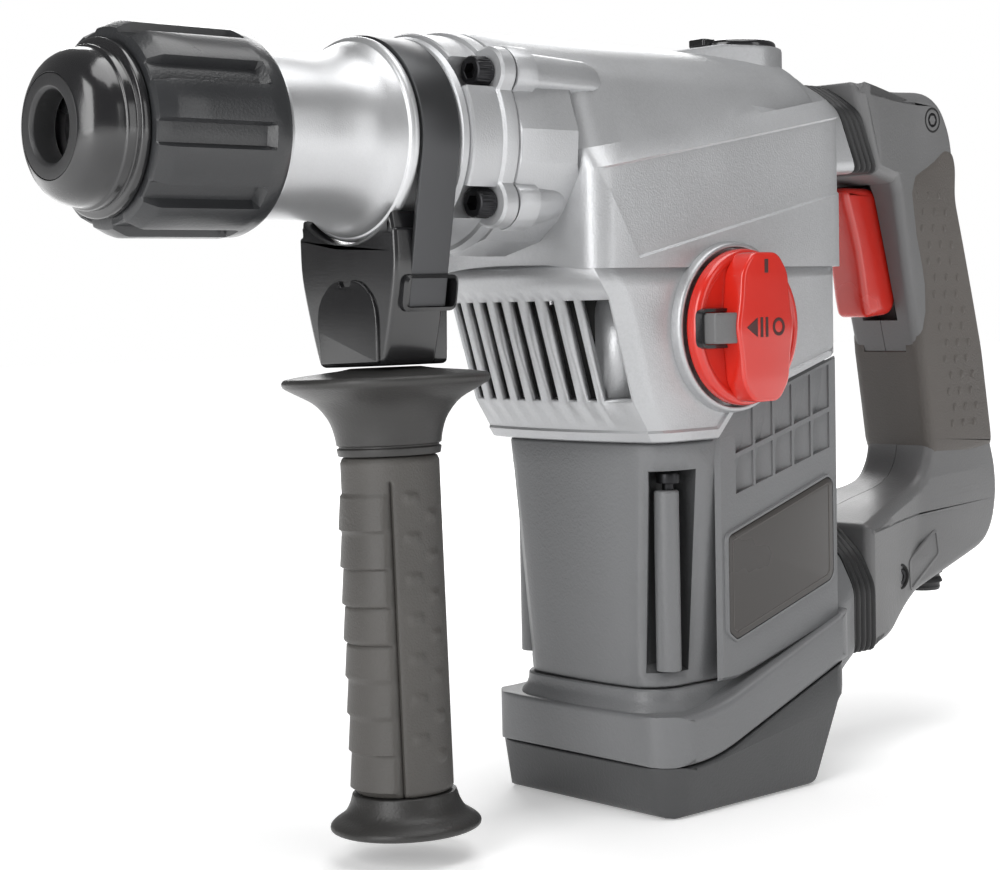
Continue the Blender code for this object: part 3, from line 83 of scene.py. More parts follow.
level = math.cos(CAMERA_PITCH)
ahead = Vector((-math.sin(CAMERA_AZIMUTH) * level, math.cos(CAMERA_AZIMUTH) * level, -math.sin(CAMERA_PITCH)))
sideways = ahead.cross(Vector((0.0, 0.0, 1.0))).normalized()
upright = sideways.cross(ahead)
right = sideways * math.cos(CAMERA_ROLL) + upright * math.sin(CAMERA_ROLL)
above = upright * math.cos(CAMERA_ROLL) - sideways * math.sin(CAMERA_ROLL)
lens = bpy.data.cameras.new("camera")
lens.lens = 75.3
lens.sensor_width = 36.0
lens.clip_end = 50.0
camera = bpy.data.objects.new("camera", lens)
camera.matrix_world = Matrix((right, above, -ahead)).transposed().to_4x4()
camera.matrix_world.translation = CAMERA_PLACE
bpy.context.scene.collection.objects.link(camera)
bpy.context.scene.camera = camera
bpy.context.scene.view_settings.view_transform = "Standard"


def softbox(name, place, target, width, height, power):
    """A rectangular area light at place, turned towards target, both in metres."""
    light = bpy.data.lights.new(name, "AREA")
    light.shape = "RECTANGLE"
    light.size = width
    light.size_y = height
    light.energy = power
    box = bpy.data.objects.new(name, light)
    box.location = place
    box.rotation_euler = (Vector(target) - Vector(place)).to_track_quat("-Z", "Y").to_euler()
    bpy.context.scene.collection.objects.link(box)


MIDDLE = (cad_low + cad_high) / 2.0
softbox("key_light", (-1.5, -0.35, 0.75), MIDDLE, 0.7, 1.5, 16.0)
softbox("top_light", (0.15, -0.25, 1.6), MIDDLE, 1.4, 0.9, 13.0)
softbox("side_light", (0.55, -1.7, 0.55), MIDDLE, 0.6, 1.2, 4.0)
softbox("rim_light", (0.9, 1.2, 1.0), MIDDLE, 1.0, 0.8, 12.0)

world = bpy.data.worlds.new("studio")
bpy.context.scene.world = world
world.use_nodes = True
sky = world.node_tree.nodes["Background"]
sky.inputs["Color"].default_value = (1.0, 1.0, 1.0, 1.0)
seen = world.node_tree.nodes.new("ShaderNodeLightPath")
strength = world.node_tree.nodes.new("ShaderNodeMapRange")
strength.inputs["To Min"].default_value = 0.16
strength.inputs["To Max"].default_value = 1.0
world.node_tree.links.new(seen.outputs["Is Camera Ray"], strength.inputs["Value"])
world.node_tree.links.new(strength.outputs["Result"], sky.inputs["Strength"])

FLOOR_REACH = 6.0
floor_mesh = bpy.data.meshes.new("studio_floor")
floor_mesh.from_pydata([(x * FLOOR_REACH, y * FLOOR_REACH, -0.0005)
                        for x, y in ((-1, -1), (1, -1), (1, 1), (-1, 1))], [], [(0, 1, 2, 3)])
floor = bpy.data.objects.new("studio_floor", floor_mesh)
bpy.context.scene.collection.objects.link(floor)
paper = bpy.data.materials.new("paper_floor")
paper.use_nodes = True
paper_shader = paper.node_tree.nodes["Principled BSDF"]
paper_shader.inputs["Base Color"].default_value = (0.93, 0.93, 0.93, 1.0)
paper_shader.inputs["Roughness"].default_value = 0.7
# Far from the tool the paper glows as bright as the world, so that no horizon shows.
distance = paper.node_tree.nodes.new("ShaderNodeVectorMath")
distance.operation = "LENGTH"
glow = paper.node_tree.nodes.new("ShaderNodeMapRange")
glow.inputs["From Min"].default_value = 0.25
glow.inputs["From Max"].default_value = 1.1
glow.inputs["To Min"].default_value = 0.3
glow.inputs["To Max"].default_value = 0.98
paper_space = paper.node_tree.nodes.new("ShaderNodeTexCoord")
paper.node_tree.links.new(paper_space.outputs["Object"], distance.inputs[0])
paper.node_tree.links.new(distance.outputs["Value"], glow.inputs["Value"])
paper_shader.inputs["Emission Color"].default_value = (1.0, 1.0, 1.0, 1.0)
paper.node_tree.links.new(glow.outputs["Result"], paper_shader.inputs["Emission Strength"])
floor_mesh.materials.append(paper)

# ---------------------------------------------------------------- dust cap
# The glossy black nylon cap that closes the chuck. It is moulded in one piece with a soft dome, a flat
# lip round the tool's shank and a step where the sleeve slides back.


def span(node):
    """Lowest and highest corner of a frame node, in millimetres."""
    low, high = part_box(node)
    return np.array(low) / MM, np.array(high) / MM


AXIS = span("tool_holder")[0][2] / 2.0 + span("tool_holder")[1][2] / 2.0
NOSE = span("dust_cap")[0][0]
SLEEVE_FRONT, SLEEVE_REAR = span("chuck_sleeve")[0][0], span("chuck_sleeve")[1][0]


def rounded(corners, reach, closed=True, steps=5):
    """Rounds an outline. Near a corner P the path is (1-t)(1-t) A + 2t(1-t) P + tt B.

    A and B lie on the two sides that meet at P, as far from it as reach, or 0.45 of a shorter side.
    """
    corners = np.asarray(corners, float)
    reach = np.broadcast_to(np.asarray(reach, float), len(corners)).copy()
    if not closed:
        reach[0] = reach[-1] = 0.0
    ends = []
    for neighbour in (np.roll(corners, 1, 0), np.roll(corners, -1, 0)):
        side = neighbour - corners
        length = np.maximum(np.linalg.norm(side, axis=1), 1e-9)
        ends.append(corners + side * (np.minimum(reach, 0.45 * length) / length)[:, None])
    t = np.linspace(0.0, 1.0, steps)[None, :, None]
    path = (1 - t) ** 2 * ends[0][:, None] + 2 * t * (1 - t) * corners[:, None] + t ** 2 * ends[1][:, None]
    path = path.reshape(-1, corners.shape[1])
    step = np.linalg.norm(np.diff(path, axis=0), axis=1)
    return path[np.concatenate([[True], step > 1e-4])]


def faces_inwards(mesh):
    """Whether an open wall's faces point to its own middle.

    They do where the sum of area * normal . (centre - middle) over the faces is below 0.
    """
    centre, normal, area = (np.empty(len(mesh.polygons) * size, np.float32) for size in (3, 3, 1))
    mesh.polygons.foreach_get("center", centre)
    mesh.polygons.foreach_get("normal", normal)
    mesh.polygons.foreach_get("area", area)
    away = centre.reshape(-1, 3) - centre.reshape(-1, 3).mean(0)
    return (area * (away * normal.reshape(-1, 3)).sum(1)).sum() < 0.0


def skin(name, rings, look, wrap=True, loop=False, ends=True, keep=None, sharp=32.0, wall=0.0, cap=None):
    """A surface over rings of equally many points, given in millimetres as an array (ring, point, 3).

    Point k of ring i is joined to point k+1 and to point k of ring i+1. wrap closes each ring, loop joins
    the last ring to the first, and ends closes the first and last ring, each with the triangles that
    fill it or, where cap names a ring, with the triangles that fill that one. keep is a mask over the
    quads. wall thickens an open surface inwards.
    """
    rings = np.asarray(rings, float)
    rows, cols = rings.shape[:2]
    index = np.arange(rows * cols).reshape(rows, cols)
    near = index if loop else index[:-1]
    far = np.roll(index, -1, 0) if loop else index[1:]
    if wrap:
        quads = np.stack([near, np.roll(near, -1, 1), np.roll(far, -1, 1), far], -1)
    else:
        quads = np.stack([near[:, :-1], near[:, 1:], far[:, 1:], far[:, :-1]], -1)
    faces = (quads.reshape(-1, 4) if keep is None else quads[keep]).tolist()
    if ends and wrap and not loop:
        for end in (0, -1):
            fill = np.array(tessellate_polygon([[Vector(point)
                                                 for point in rings[end if cap is None else cap]]]))
            faces += index[end][fill].tolist()
    mesh = bpy.data.meshes.new(name)
    mesh.from_pydata((rings.reshape(-1, 3) * MM).tolist(), [], faces)
    work = bmesh.new()
    work.from_mesh(mesh)
    bmesh.ops.remove_doubles(work, verts=work.verts, dist=2e-6)
    bmesh.ops.delete(work, geom=[v for v in work.verts if not v.link_faces], context="VERTS")
    bmesh.ops.recalc_face_normals(work, faces=work.faces)
    work.to_mesh(mesh)
    work.free()
    if wall and wrap and faces_inwards(mesh):
        mesh.flip_normals()
    mesh.shade_smooth()
    mesh.set_sharp_from_angle(angle=math.radians(sharp))
    mesh.materials.append(look)
    piece = bpy.data.objects.new(name, mesh)
    bpy.context.scene.collection.objects.link(piece)
    if wall:
        thick = piece.modifiers.new("wall", "SOLIDIFY")
        thick.thickness = wall * MM
        thick.offset = -1.0
    return piece


def lathe(name, profile, look, centre=(0.0, 0.0, None), axis="x", steps=112, reach=0.0, sharp=32.0):
    """Carries a profile of (radius, place along the axis) once round: (place, r sin t, r cos t).

    A profile that touches the axis is open and closes there, any other is a closed outline.
    """
    touches = min(profile[0][0], profile[-1][0]) == 0.0
    path = rounded(profile, reach, closed=not touches, steps=4) if np.any(reach) else np.array(profile, float)
    turn = np.linspace(0.0, 2.0 * math.pi, steps, endpoint=False)
    out, along = path[:, :1], np.broadcast_to(path[:, 1:2], (len(path), steps))
    one, two = out * np.sin(turn), out * np.cos(turn)
    columns = {"x": (along, one, two), "y": (two, along, one), "z": (one, two, along)}[axis]
    place = np.array([AXIS if value is None else value for value in centre])
    return skin(name, np.stack(columns, -1) + place, look, loop=not touches, ends=False, sharp=sharp)


def dress(piece, body, slot, *nodes):
    """Puts a finished piece on its body and hides the frame nodes it stands for; slot is not used."""
    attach(piece, body)
    if nodes:
        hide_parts(*nodes)
    return piece


def group(name, inputs, outputs):
    """An empty shader node group with number inputs (name, default) and number outputs."""
    made = bpy.data.node_groups.new(name, "ShaderNodeTree")
    for label, value in inputs:
        made.interface.new_socket(label, in_out="INPUT", socket_type="NodeSocketFloat").default_value = value
    for label in outputs:
        made.interface.new_socket(label, in_out="OUTPUT", socket_type="NodeSocketFloat")
    return made, made.nodes.new("NodeGroupInput"), made.nodes.new("NodeGroupOutput")


# Fine moulded or cast grain: two sizes of noise for the height, and slow clouds for tone and handling marks.
cast_grain, grain_in, grain_out = group("surface_grain", [("Grain Scale", 900.0), ("Cloud Scale", 14.0)],
                                        ["Height", "Speckle", "Cloud"])
grain_space = cast_grain.nodes.new("ShaderNodeTexCoord")
for output, scale_socket, detail, factor in (("Height", "Grain Scale", 3.0, 1.0),
                                             ("Speckle", "Grain Scale", 1.0, 0.6),
                                             ("Cloud", "Cloud Scale", 4.0, 1.0)):
    noise = cast_grain.nodes.new("ShaderNodeTexNoise")
    noise.inputs["Detail"].default_value = detail
    size = cast_grain.nodes.new("ShaderNodeMath")
    size.operation = "MULTIPLY"
    size.inputs[1].default_value = factor
    spread = cast_grain.nodes.new("ShaderNodeMapRange")
    spread.inputs["From Min"].default_value = 0.32
    spread.inputs["From Max"].default_value = 0.68
    cast_grain.links.new(grain_in.outputs[scale_socket], size.inputs[0])
    cast_grain.links.new(size.outputs[0], noise.inputs["Scale"])
    cast_grain.links.new(grain_space.outputs["Object"], noise.inputs["Vector"])
    cast_grain.links.new(noise.outputs["Fac"], spread.inputs["Value"])
    cast_grain.links.new(spread.outputs["Result"], grain_out.inputs[output])


def finish_of(name, colour, roughness, grain=900.0, bump=0.05, tone=0.12, rough_spread=0.08, metallic=0.0,
              coat=0.0, speckle=0.0):
    """A Principled material whose tone, roughness and bump come from the surface grain group.

    Base colour runs between colour (1 - tone) and colour (1 + tone) with the clouds, plus a share of the
    speckle; bump is the grain's depth in millimetres.
    """
    look = bpy.data.materials.new(name)
    look.use_nodes = True
    tree = look.node_tree
    shader = tree.nodes["Principled BSDF"]
    shader.inputs["Metallic"].default_value = metallic
    shader.inputs["Coat Weight"].default_value = coat
    shader.inputs["Coat Roughness"].default_value = 0.12
    grain_node = tree.nodes.new("ShaderNodeGroup")
    grain_node.node_tree = cast_grain
    grain_node.inputs["Grain Scale"].default_value = grain
    grain_node.inputs["Cloud Scale"].default_value = 14.0
    blend = tree.nodes.new("ShaderNodeMix")
    blend.data_type = "RGBA"
    blend.inputs["A"].default_value = (*[channel * (1.0 - tone) for channel in colour], 1.0)
    blend.inputs["B"].default_value = (*[min(1.0, channel * (1.0 + tone)) for channel in colour], 1.0)
    flecks = tree.nodes.new("ShaderNodeMath")
    flecks.operation = "MULTIPLY_ADD"
    flecks.inputs[1].default_value = speckle
    rough = tree.nodes.new("ShaderNodeMapRange")
    rough.inputs["To Min"].default_value = roughness - rough_spread
    rough.inputs["To Max"].default_value = roughness + rough_spread
    height = tree.nodes.new("ShaderNodeBump")
    height.inputs["Distance"].default_value = bump * MM
    tree.links.new(grain_node.outputs["Speckle"], flecks.inputs[0])
    tree.links.new(grain_node.outputs["Cloud"], flecks.inputs[2])
    tree.links.new(flecks.outputs[0], blend.inputs["Factor"])
    tree.links.new(blend.outputs["Result"], shader.inputs["Base Color"])
    tree.links.new(grain_node.outputs["Cloud"], rough.inputs["Value"])
    tree.links.new(rough.outputs["Result"], shader.inputs["Roughness"])
    tree.links.new(grain_node.outputs["Height"], height.inputs["Height"])
    tree.links.new(height.outputs["Normal"], shader.inputs["Normal"])
    return look


gloss_black = finish_of("gloss_black_nylon", (0.012, 0.012, 0.013), 0.2, grain=1400.0, bump=0.008, coat=0.6)
lip_grey = finish_of("dust_lip_rubber", (0.03, 0.03, 0.031), 0.4, grain=1200.0, bump=0.02)
CAP_R = 25.2
BORE_R = 11.0
LIP_R = 16.2
cap_profile = [(23.0, SLEEVE_FRONT + 5.5), (23.0, SLEEVE_FRONT - 0.4), (27.6, SLEEVE_FRONT - 0.4),
               (27.6, SLEEVE_FRONT - 3.4), (CAP_R, SLEEVE_FRONT - 3.8), (CAP_R, SLEEVE_FRONT - 6.8),
               (24.3, SLEEVE_FRONT - 7.2), (23.9, NOSE + 8.0), (21.5, NOSE + 3.0), (LIP_R + 0.6, NOSE + 0.3),
               (LIP_R, NOSE + 0.1), (LIP_R, NOSE + 1.6), (LIP_R - 1.5, NOSE + 1.8), (18.2, NOSE + 9.4),
               (18.2, SLEEVE_FRONT + 5.5)]
cap_reach = [0.5, 0.3, 0.8, 0.8, 0.4, 0.5, 0.5, 5.0, 4.5, 0.4, 0.2, 0.3, 0.3, 0.5, 0.5]
dust_cap = lathe("dust_cap_shell", cap_profile, gloss_black, reach=cap_reach)
dress(dust_cap, "spindle", "gloss_black_nylon", "dust_cap")
lip = lathe("dust_cap_lip", [(LIP_R - 0.2, NOSE + 1.6), (LIP_R - 0.2, NOSE + 0.1), (BORE_R + 1.0, NOSE),
                             (BORE_R, NOSE + 1.2), (BORE_R, NOSE + 8.8), (16.0, NOSE + 9.0),
                             (15.5, NOSE + 1.8)], lip_grey, reach=0.35)
dress(lip, "spindle", "gloss_black_nylon")

# ---------------------------------------------------------------- chuck sleeve
# The sleeve that is drawn back to free the tool. It is moulded in satin nylon with ten finger slots,
# open at the front and closed by a plain band at the rear.
sleeve_black = finish_of("sleeve_nylon", (0.026, 0.027, 0.029), 0.33, grain=1100.0, bump=0.03, coat=0.15)
SLEEVE_R = 33.1
SLOT_COUNT = 10
SLOT_DEPTH = 3.1
SLOT_PART = 15.0
SLOT_WALL = 1.6
FIRST_SLOT = 23.6
PLAIN_BAND = 7.5
SLEEVE_INNER = 26.0

slot_angles = np.concatenate([[0.0, SLOT_WALL], np.linspace(3.2, SLOT_PART - 3.2, 5),
                              [SLOT_PART - SLOT_WALL, SLOT_PART], np.linspace(16.5, 34.5, 9)])
slot_depths = np.concatenate([[0.0, 1.0], np.ones(5), [1.0, 0.0], np.zeros(9)])
period = 360.0 / SLOT_COUNT
sleeve_turn = np.radians(np.concatenate([slot_angles - SLOT_PART / 2.0 + FIRST_SLOT + k * period
                                         for k in range(SLOT_COUNT)]) - 90.0)
sleeve_cut = np.tile(slot_depths, SLOT_COUNT)
crown = np.tile(np.concatenate([np.zeros(9), np.sin(np.linspace(0.35, math.pi - 0.35, 9))]), SLOT_COUNT)


def sleeve_ring(place, radius, depth, proud=0.0):
    """One ring of the sleeve: radius - depth * slot mask + proud * crown, carried round the axis."""
    radii = radius - depth * sleeve_cut + proud * crown
    return np.stack([np.full_like(radii, place), radii * np.cos(sleeve_turn),
                     AXIS + radii * np.sin(sleeve_turn)], -1)


band = SLEEVE_REAR - PLAIN_BAND
sleeve_rings = [sleeve_ring(*values) for values in (
    (SLEEVE_FRONT + 5.0, SLEEVE_INNER, 0.0), (SLEEVE_FRONT + 0.3, SLEEVE_INNER, 0.0),
    (SLEEVE_FRONT, SLEEVE_INNER + 0.4, 0.0), (SLEEVE_FRONT, SLEEVE_R - 3.6, 0.0),
    (SLEEVE_FRONT + 0.5, SLEEVE_R - 2.3, 0.9), (SLEEVE_FRONT + 4.6, SLEEVE_R - 0.35, SLOT_DEPTH - 0.4, 0.2),
    (SLEEVE_FRONT + 6.0, SLEEVE_R, SLOT_DEPTH, 0.3), (SLEEVE_FRONT + 18.0, SLEEVE_R, SLOT_DEPTH, 0.3),
    (band - 1.8, SLEEVE_R, SLOT_DEPTH, 0.3), (band, SLEEVE_R, 0.0, 0.3), (band + 1.0, SLEEVE_R, 0.0),
    (SLEEVE_REAR - 3.2, SLEEVE_R - 0.15, 0.0), (SLEEVE_REAR - 1.2, SLEEVE_R - 1.1, 0.0),
    (SLEEVE_REAR - 0.2, SLEEVE_R - 2.6, 0.0), (SLEEVE_REAR, SLEEVE_R - 3.6, 0.0), (SLEEVE_REAR, 28.8, 0.0),
    (SLEEVE_REAR - 1.0, 28.6, 0.0), (SLEEVE_REAR - 16.0, 28.6, 0.0), (SLEEVE_REAR - 17.0, 19.7, 0.0),
    (SLEEVE_FRONT + 9.0, 19.7, 0.0), (SLEEVE_FRONT + 7.0, SLEEVE_INNER, 0.0))]
chuck_sleeve = skin("chuck_sleeve_shell", sleeve_rings, sleeve_black, loop=True, sharp=24.0)
dress(chuck_sleeve, "sleeve", "sleeve_nylon", "chuck_sleeve")

# ---------------------------------------------------------------- sleeve spring
# A coil of round wire presses the sleeve forward and is squeezed against the neck as the sleeve is drawn
# back. Its middle line is (x along the barrel, R cos t, R sin t), with a small circle swept round it.
spring_steel = finish_of("spring_steel", (0.45, 0.45, 0.46), 0.3, grain=2000.0, bump=0.006, metallic=1.0)
spring_low, spring_high = span("sleeve_spring")
WIRE_R = 0.8
COILS = 5
coil_r = (spring_high[1] - spring_low[1]) / 2.0 - WIRE_R
coil_t = np.linspace(0.0, 1.0, 48 * COILS)
wire_turn = np.linspace(0.0, 2.0 * math.pi, 10, endpoint=False)
coil_turn = 2.0 * math.pi * COILS * coil_t[:, None]
coil_x = spring_low[0] + WIRE_R + (spring_high[0] - spring_low[0] - 2.0 * WIRE_R) * coil_t[:, None]
wire_out = coil_r + WIRE_R * np.cos(wire_turn)
spring = skin("sleeve_spring_coil", np.stack([coil_x + WIRE_R * np.sin(wire_turn),
                                              wire_out * np.cos(coil_turn),
                                              AXIS + wire_out * np.sin(coil_turn)], -1), spring_steel)
dress(spring, "spindle", "ground_steel", "sleeve_spring")
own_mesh(spring)

# ---------------------------------------------------------------- barrel collar
# The neck and flange of the gearbox, a die-cast magnesium tube turned where the side handle grips it,
# painted light grey with a fine sparkle in the paint.
magnesium = finish_of("painted_magnesium", (0.44, 0.445, 0.455), 0.36, grain=1500.0, bump=0.035, tone=0.07,
                      rough_spread=0.05, metallic=0.55, speckle=0.45)
machined = finish_of("turned_magnesium", (0.56, 0.565, 0.575), 0.36, grain=2200.0, bump=0.02, tone=0.05,
                     rough_spread=0.05, metallic=0.75, speckle=0.25)
collar_low, collar_high = span("barrel_collar")
FLANGE_R = 34.4
SEAT_R = 32.6
NECK_R = 27.0
seat_front = collar_high[0] - 17.15
collar = lathe("barrel_collar_casting", [(SEAT_R, collar_high[0]), (SEAT_R, seat_front),
                                         (FLANGE_R - 0.3, seat_front), (FLANGE_R, seat_front - 0.8),
                                         (FLANGE_R, seat_front - 2.2), (FLANGE_R - 1.0, seat_front - 3.3),
                                         (32.7, seat_front - 3.5), (32.4, seat_front - 4.4),
                                         (31.4, seat_front - 6.6), (29.6, seat_front - 9.6),
                                         (28.2, seat_front - 13.5), (NECK_R + 0.3, seat_front - 19.0),
                                         (NECK_R, seat_front - 25.0), (NECK_R, collar_low[0] + 1.2),
                                         (NECK_R - 1.2, collar_low[0]), (20.8, collar_low[0]),
                                         (20.8, collar_high[0])], machined,
               reach=[0.3, 0.3, 0.6, 0.6, 0.7, 0.4, 0.3, 0.8, 1.8, 2.5, 4.0, 5.0, 4.0, 0.8, 0.6, 0.3, 0.3],
               steps=128)
dress(collar, "housing", "painted_magnesium", "barrel_collar")

# ---------------------------------------------------------------- front cover
# The die-cast cover that holds the barrel to the gearbox. Four lugs stand out on its rear flange, and
# round pockets in its front wall make room for the bolt heads.
cover_low, cover_high = span("front_cover")
COVER_R = 36.9
FLANGE_OUT = 38.2
LUG_R = 8.6
HEAD_ROOM = 6.0
bolt_low, bolt_high = span("cover_bolt_upper_near")
BOLT_Y = -(bolt_low[1] + bolt_high[1]) / 2.0
BOLT_UP = (bolt_low[2] + bolt_high[2]) / 2.0 - AXIS
LUG_FRONT = bolt_low[0] + 7.35
around = np.linspace(0.0, 2.0 * math.pi, 360, endpoint=False)
bolt_angles = [math.atan2(up * BOLT_UP, side * BOLT_Y) for side in (-1, 1) for up in (-1, 1)]
bolt_far = math.hypot(BOLT_Y, BOLT_UP)


def reach_past(angle, radius):
    """How far each ray from the axis runs to the near and far side of a circle round each bolt.

    The distances are d cos t -+ sqrt(r^2 - (d sin t)^2), and nan where the ray passes the circle.
    """
    off = np.angle(np.exp(1j * (around[:, None] - np.array(angle)[None])))
    inside = radius ** 2 - (bolt_far * np.sin(off)) ** 2
    root = np.sqrt(np.where((inside > 0.0) & (np.abs(off) < 1.0), inside, np.nan))
    return bolt_far * np.cos(off) - root, bolt_far * np.cos(off) + root


def round_ring(place, radii):
    """A ring round the barrel axis at this place: (place, r cos t, axis + r sin t)."""
    return np.stack([np.full_like(radii, place), radii * np.cos(around), AXIS + radii * np.sin(around)], -1)


def cover_wall(radius, room):
    """A round wall with a pocket beside each bolt: the smaller of the radius and the pocket's near side."""
    near_side = reach_past(bolt_angles, room)[0]
    return np.minimum(radius, np.nan_to_num(near_side, nan=99.0).min(1))


def lug_wall(radius, lug):
    """A round flange with a lug at each bolt: the larger of the radius and the lug's far side."""
    far_side = reach_past(bolt_angles, lug)[1]
    return np.maximum(radius, np.nan_to_num(far_side, nan=0.0).max(1))


cover_front = cover_low[0]
cover_rings = [round_ring(*values) for values in ((cover_front + 0.2, np.full(360, 24.5)),
                                                  (cover_front, np.full(360, 25.0)),
                                                  (cover_front, np.full(360, 33.6)),
                                                  (cover_front + 0.8, np.full(360, 34.9)),
                                                  (cover_front + 2.6, np.full(360, 35.6)),
                                                  (cover_front + 2.9, np.full(360, 35.0)),
                                                  (cover_front + 3.4, np.full(360, 35.0)),
                                                  (cover_front + 3.7, cover_wall(COVER_R - 0.5, HEAD_ROOM)),
                                                  (cover_front + 4.4, cover_wall(COVER_R, HEAD_ROOM)),
                                                  (LUG_FRONT - 3.0, cover_wall(COVER_R, HEAD_ROOM)),
                                                  (LUG_FRONT, cover_wall(COVER_R, HEAD_ROOM)),
                                                  (LUG_FRONT, lug_wall(COVER_R, LUG_R - 0.9)),
                                                  (LUG_FRONT + 0.9, lug_wall(FLANGE_OUT - 0.2, LUG_R)),
                                                  (LUG_FRONT + 1.6, lug_wall(FLANGE_OUT, LUG_R)),
                                                  (cover_high[0] - 0.8, lug_wall(FLANGE_OUT, LUG_R)),
                                                  (cover_high[0], lug_wall(FLANGE_OUT - 0.6, LUG_R - 0.6)),
                                                  (cover_high[0], np.full(360, 25.0)),
                                                  (cover_high[0] - 0.3, np.full(360, 24.5)))]
cover = skin("front_cover_casting", cover_rings, magnesium, loop=True, sharp=28.0)
dress(cover, "housing", "painted_magnesium", "front_cover")

# ---------------------------------------------------------------- cover bolts
# Blackened socket-head screws. The head is knurled round its side, chamfered, and has a hexagon socket.
black_steel = finish_of("blackened_steel", (0.025, 0.025, 0.027), 0.3, grain=1500.0, bump=0.02, metallic=0.85)
HEAD_R = 5.2
SOCKET_R = 2.5
HEAD_DEPTH = 7.0
KNURLS = 24


def socket_head(name, place, look, head, socket, depth, reach):
    """A screw along +x. Each ring has the radius r(t) of a circle, a knurled circle or a hexagon, and the
    hexagon is socket / cos(t'), with t' the angle from the middle of its nearest flat."""
    turn = np.linspace(0.0, 2.0 * math.pi, 4 * KNURLS, endpoint=False)
    flat = np.mod(turn, math.pi / 3.0) - math.pi / 6.0
    hexagon = socket / np.cos(flat)
    knurled = head - 0.22 * (np.arange(len(turn)) // 2 % 2)
    plain = np.ones_like(turn)
    stations = ((3.6, 0.05 * plain), (3.4, hexagon), (0.1, hexagon), (0.0, hexagon * 1.06),
                (0.0, (head - 0.9) * plain), (0.3, (head - 0.35) * plain), (0.9, knurled),
                (depth - 1.0, knurled), (depth - 0.6, (head - 0.3) * plain), (depth, (head - 0.4) * plain),
                (depth, 2.45 * plain), (depth + reach, 2.45 * plain), (depth + reach + 0.6, 0.05 * plain))
    rings = [np.stack([np.full_like(turn, place[0] + along), place[1] + radii * np.cos(turn),
                       place[2] + radii * np.sin(turn)], -1) for along, radii in stations]
    return skin(name, rings, look, sharp=26.0)


for side, word in ((-1.0, "near"), (1.0, "far")):
    for up, level_word in ((1.0, "upper"), (-1.0, "lower")):
        node = "cover_bolt_%s_%s" % (level_word, word)
        bolt = socket_head(node + "_screw", (bolt_low[0], side * BOLT_Y, AXIS + up * BOLT_UP), black_steel,
                           HEAD_R, SOCKET_R, HEAD_DEPTH, 18.0)
        dress(bolt, "housing", "dark_steel", node)

# ---------------------------------------------------------------- clamp strap and block
# A bent steel band grips the barrel flange from above. Its two legs go down into a glossy black nylon
# block, where the side handle's screw draws them tight.
SIDE_X = (span("clamp_strap")[0][0] + span("clamp_strap")[1][0]) / 2.0
LEAN = math.radians(-1.8)
strap_steel = finish_of("strap_steel", (0.075, 0.076, 0.079), 0.36, grain=1800.0, bump=0.012, metallic=0.9,
                        tone=0.1)


def leaning(points):
    """Turns points about the barrel axis by the side handle's lean a.

    The new y is y cos a - z sin a, and the new z is y sin a + z cos a, with z measured from the axis.
    """
    points = np.array(points, float)
    side, up = points[..., 1].copy(), points[..., 2] - AXIS
    points[..., 1] = side * math.cos(LEAN) - up * math.sin(LEAN)
    points[..., 2] = side * math.sin(LEAN) + up * math.cos(LEAN) + AXIS
    return points


LEG_TURN = math.radians(12.0)
STRAP_MID = 33.95
arc_turn = np.linspace(-LEG_TURN, math.pi + LEG_TURN, 57)
leg_down = np.linspace(57.0 - STRAP_MID * math.sin(LEG_TURN), 1.0, 10)
band_y = np.concatenate([STRAP_MID * math.cos(LEG_TURN) - leg_down * math.tan(LEG_TURN),
                         STRAP_MID * np.cos(arc_turn),
                         -(STRAP_MID * math.cos(LEG_TURN) - leg_down[::-1] * math.tan(LEG_TURN))])
band_z = np.concatenate([-STRAP_MID * math.sin(LEG_TURN) - leg_down, STRAP_MID * np.sin(arc_turn),
                         -STRAP_MID * math.sin(LEG_TURN) - leg_down[::-1]])
along = np.gradient(np.stack([band_y, band_z], -1), axis=0)
along /= np.linalg.norm(along, axis=1)[:, None]
outward = np.stack([along[:, 1], -along[:, 0]], -1)
section = rounded([(-1.0, -8.0), (1.0, -8.0), (1.0, 8.0), (-1.0, 8.0)], 0.7, steps=4)
band_rings = np.stack([np.broadcast_to(SIDE_X + section[:, 1], (len(band_y), len(section))),
                       band_y[:, None] + outward[:, :1] * section[:, 0],
                       AXIS + band_z[:, None] + outward[:, 1:] * section[:, 0]], -1)
strap = skin("clamp_strap_band", leaning(band_rings), strap_steel)
dress(strap, "side_clamp", "dark_steel", "clamp_strap")


def inset(outline, distance):
    """Moves every side of a closed outline inwards by distance; a corner moves along its mitre."""
    outline = np.asarray(outline, float)
    ahead_side, back_side = np.roll(outline, -1, 0) - outline, outline - np.roll(outline, 1, 0)
    normals = []
    for side in (ahead_side, back_side):
        side = side / np.maximum(np.linalg.norm(side, axis=1), 1e-9)[:, None]
        normals.append(np.stack([-side[:, 1], side[:, 0]], -1))
    mitre = normals[0] + normals[1]
    mitre /= np.maximum((mitre * normals[0]).sum(1), 0.35)[:, None]
    x, y = outline.T
    turned = np.sign((x * np.roll(y, -1) - np.roll(x, -1) * y).sum())
    return outline + mitre * distance * turned


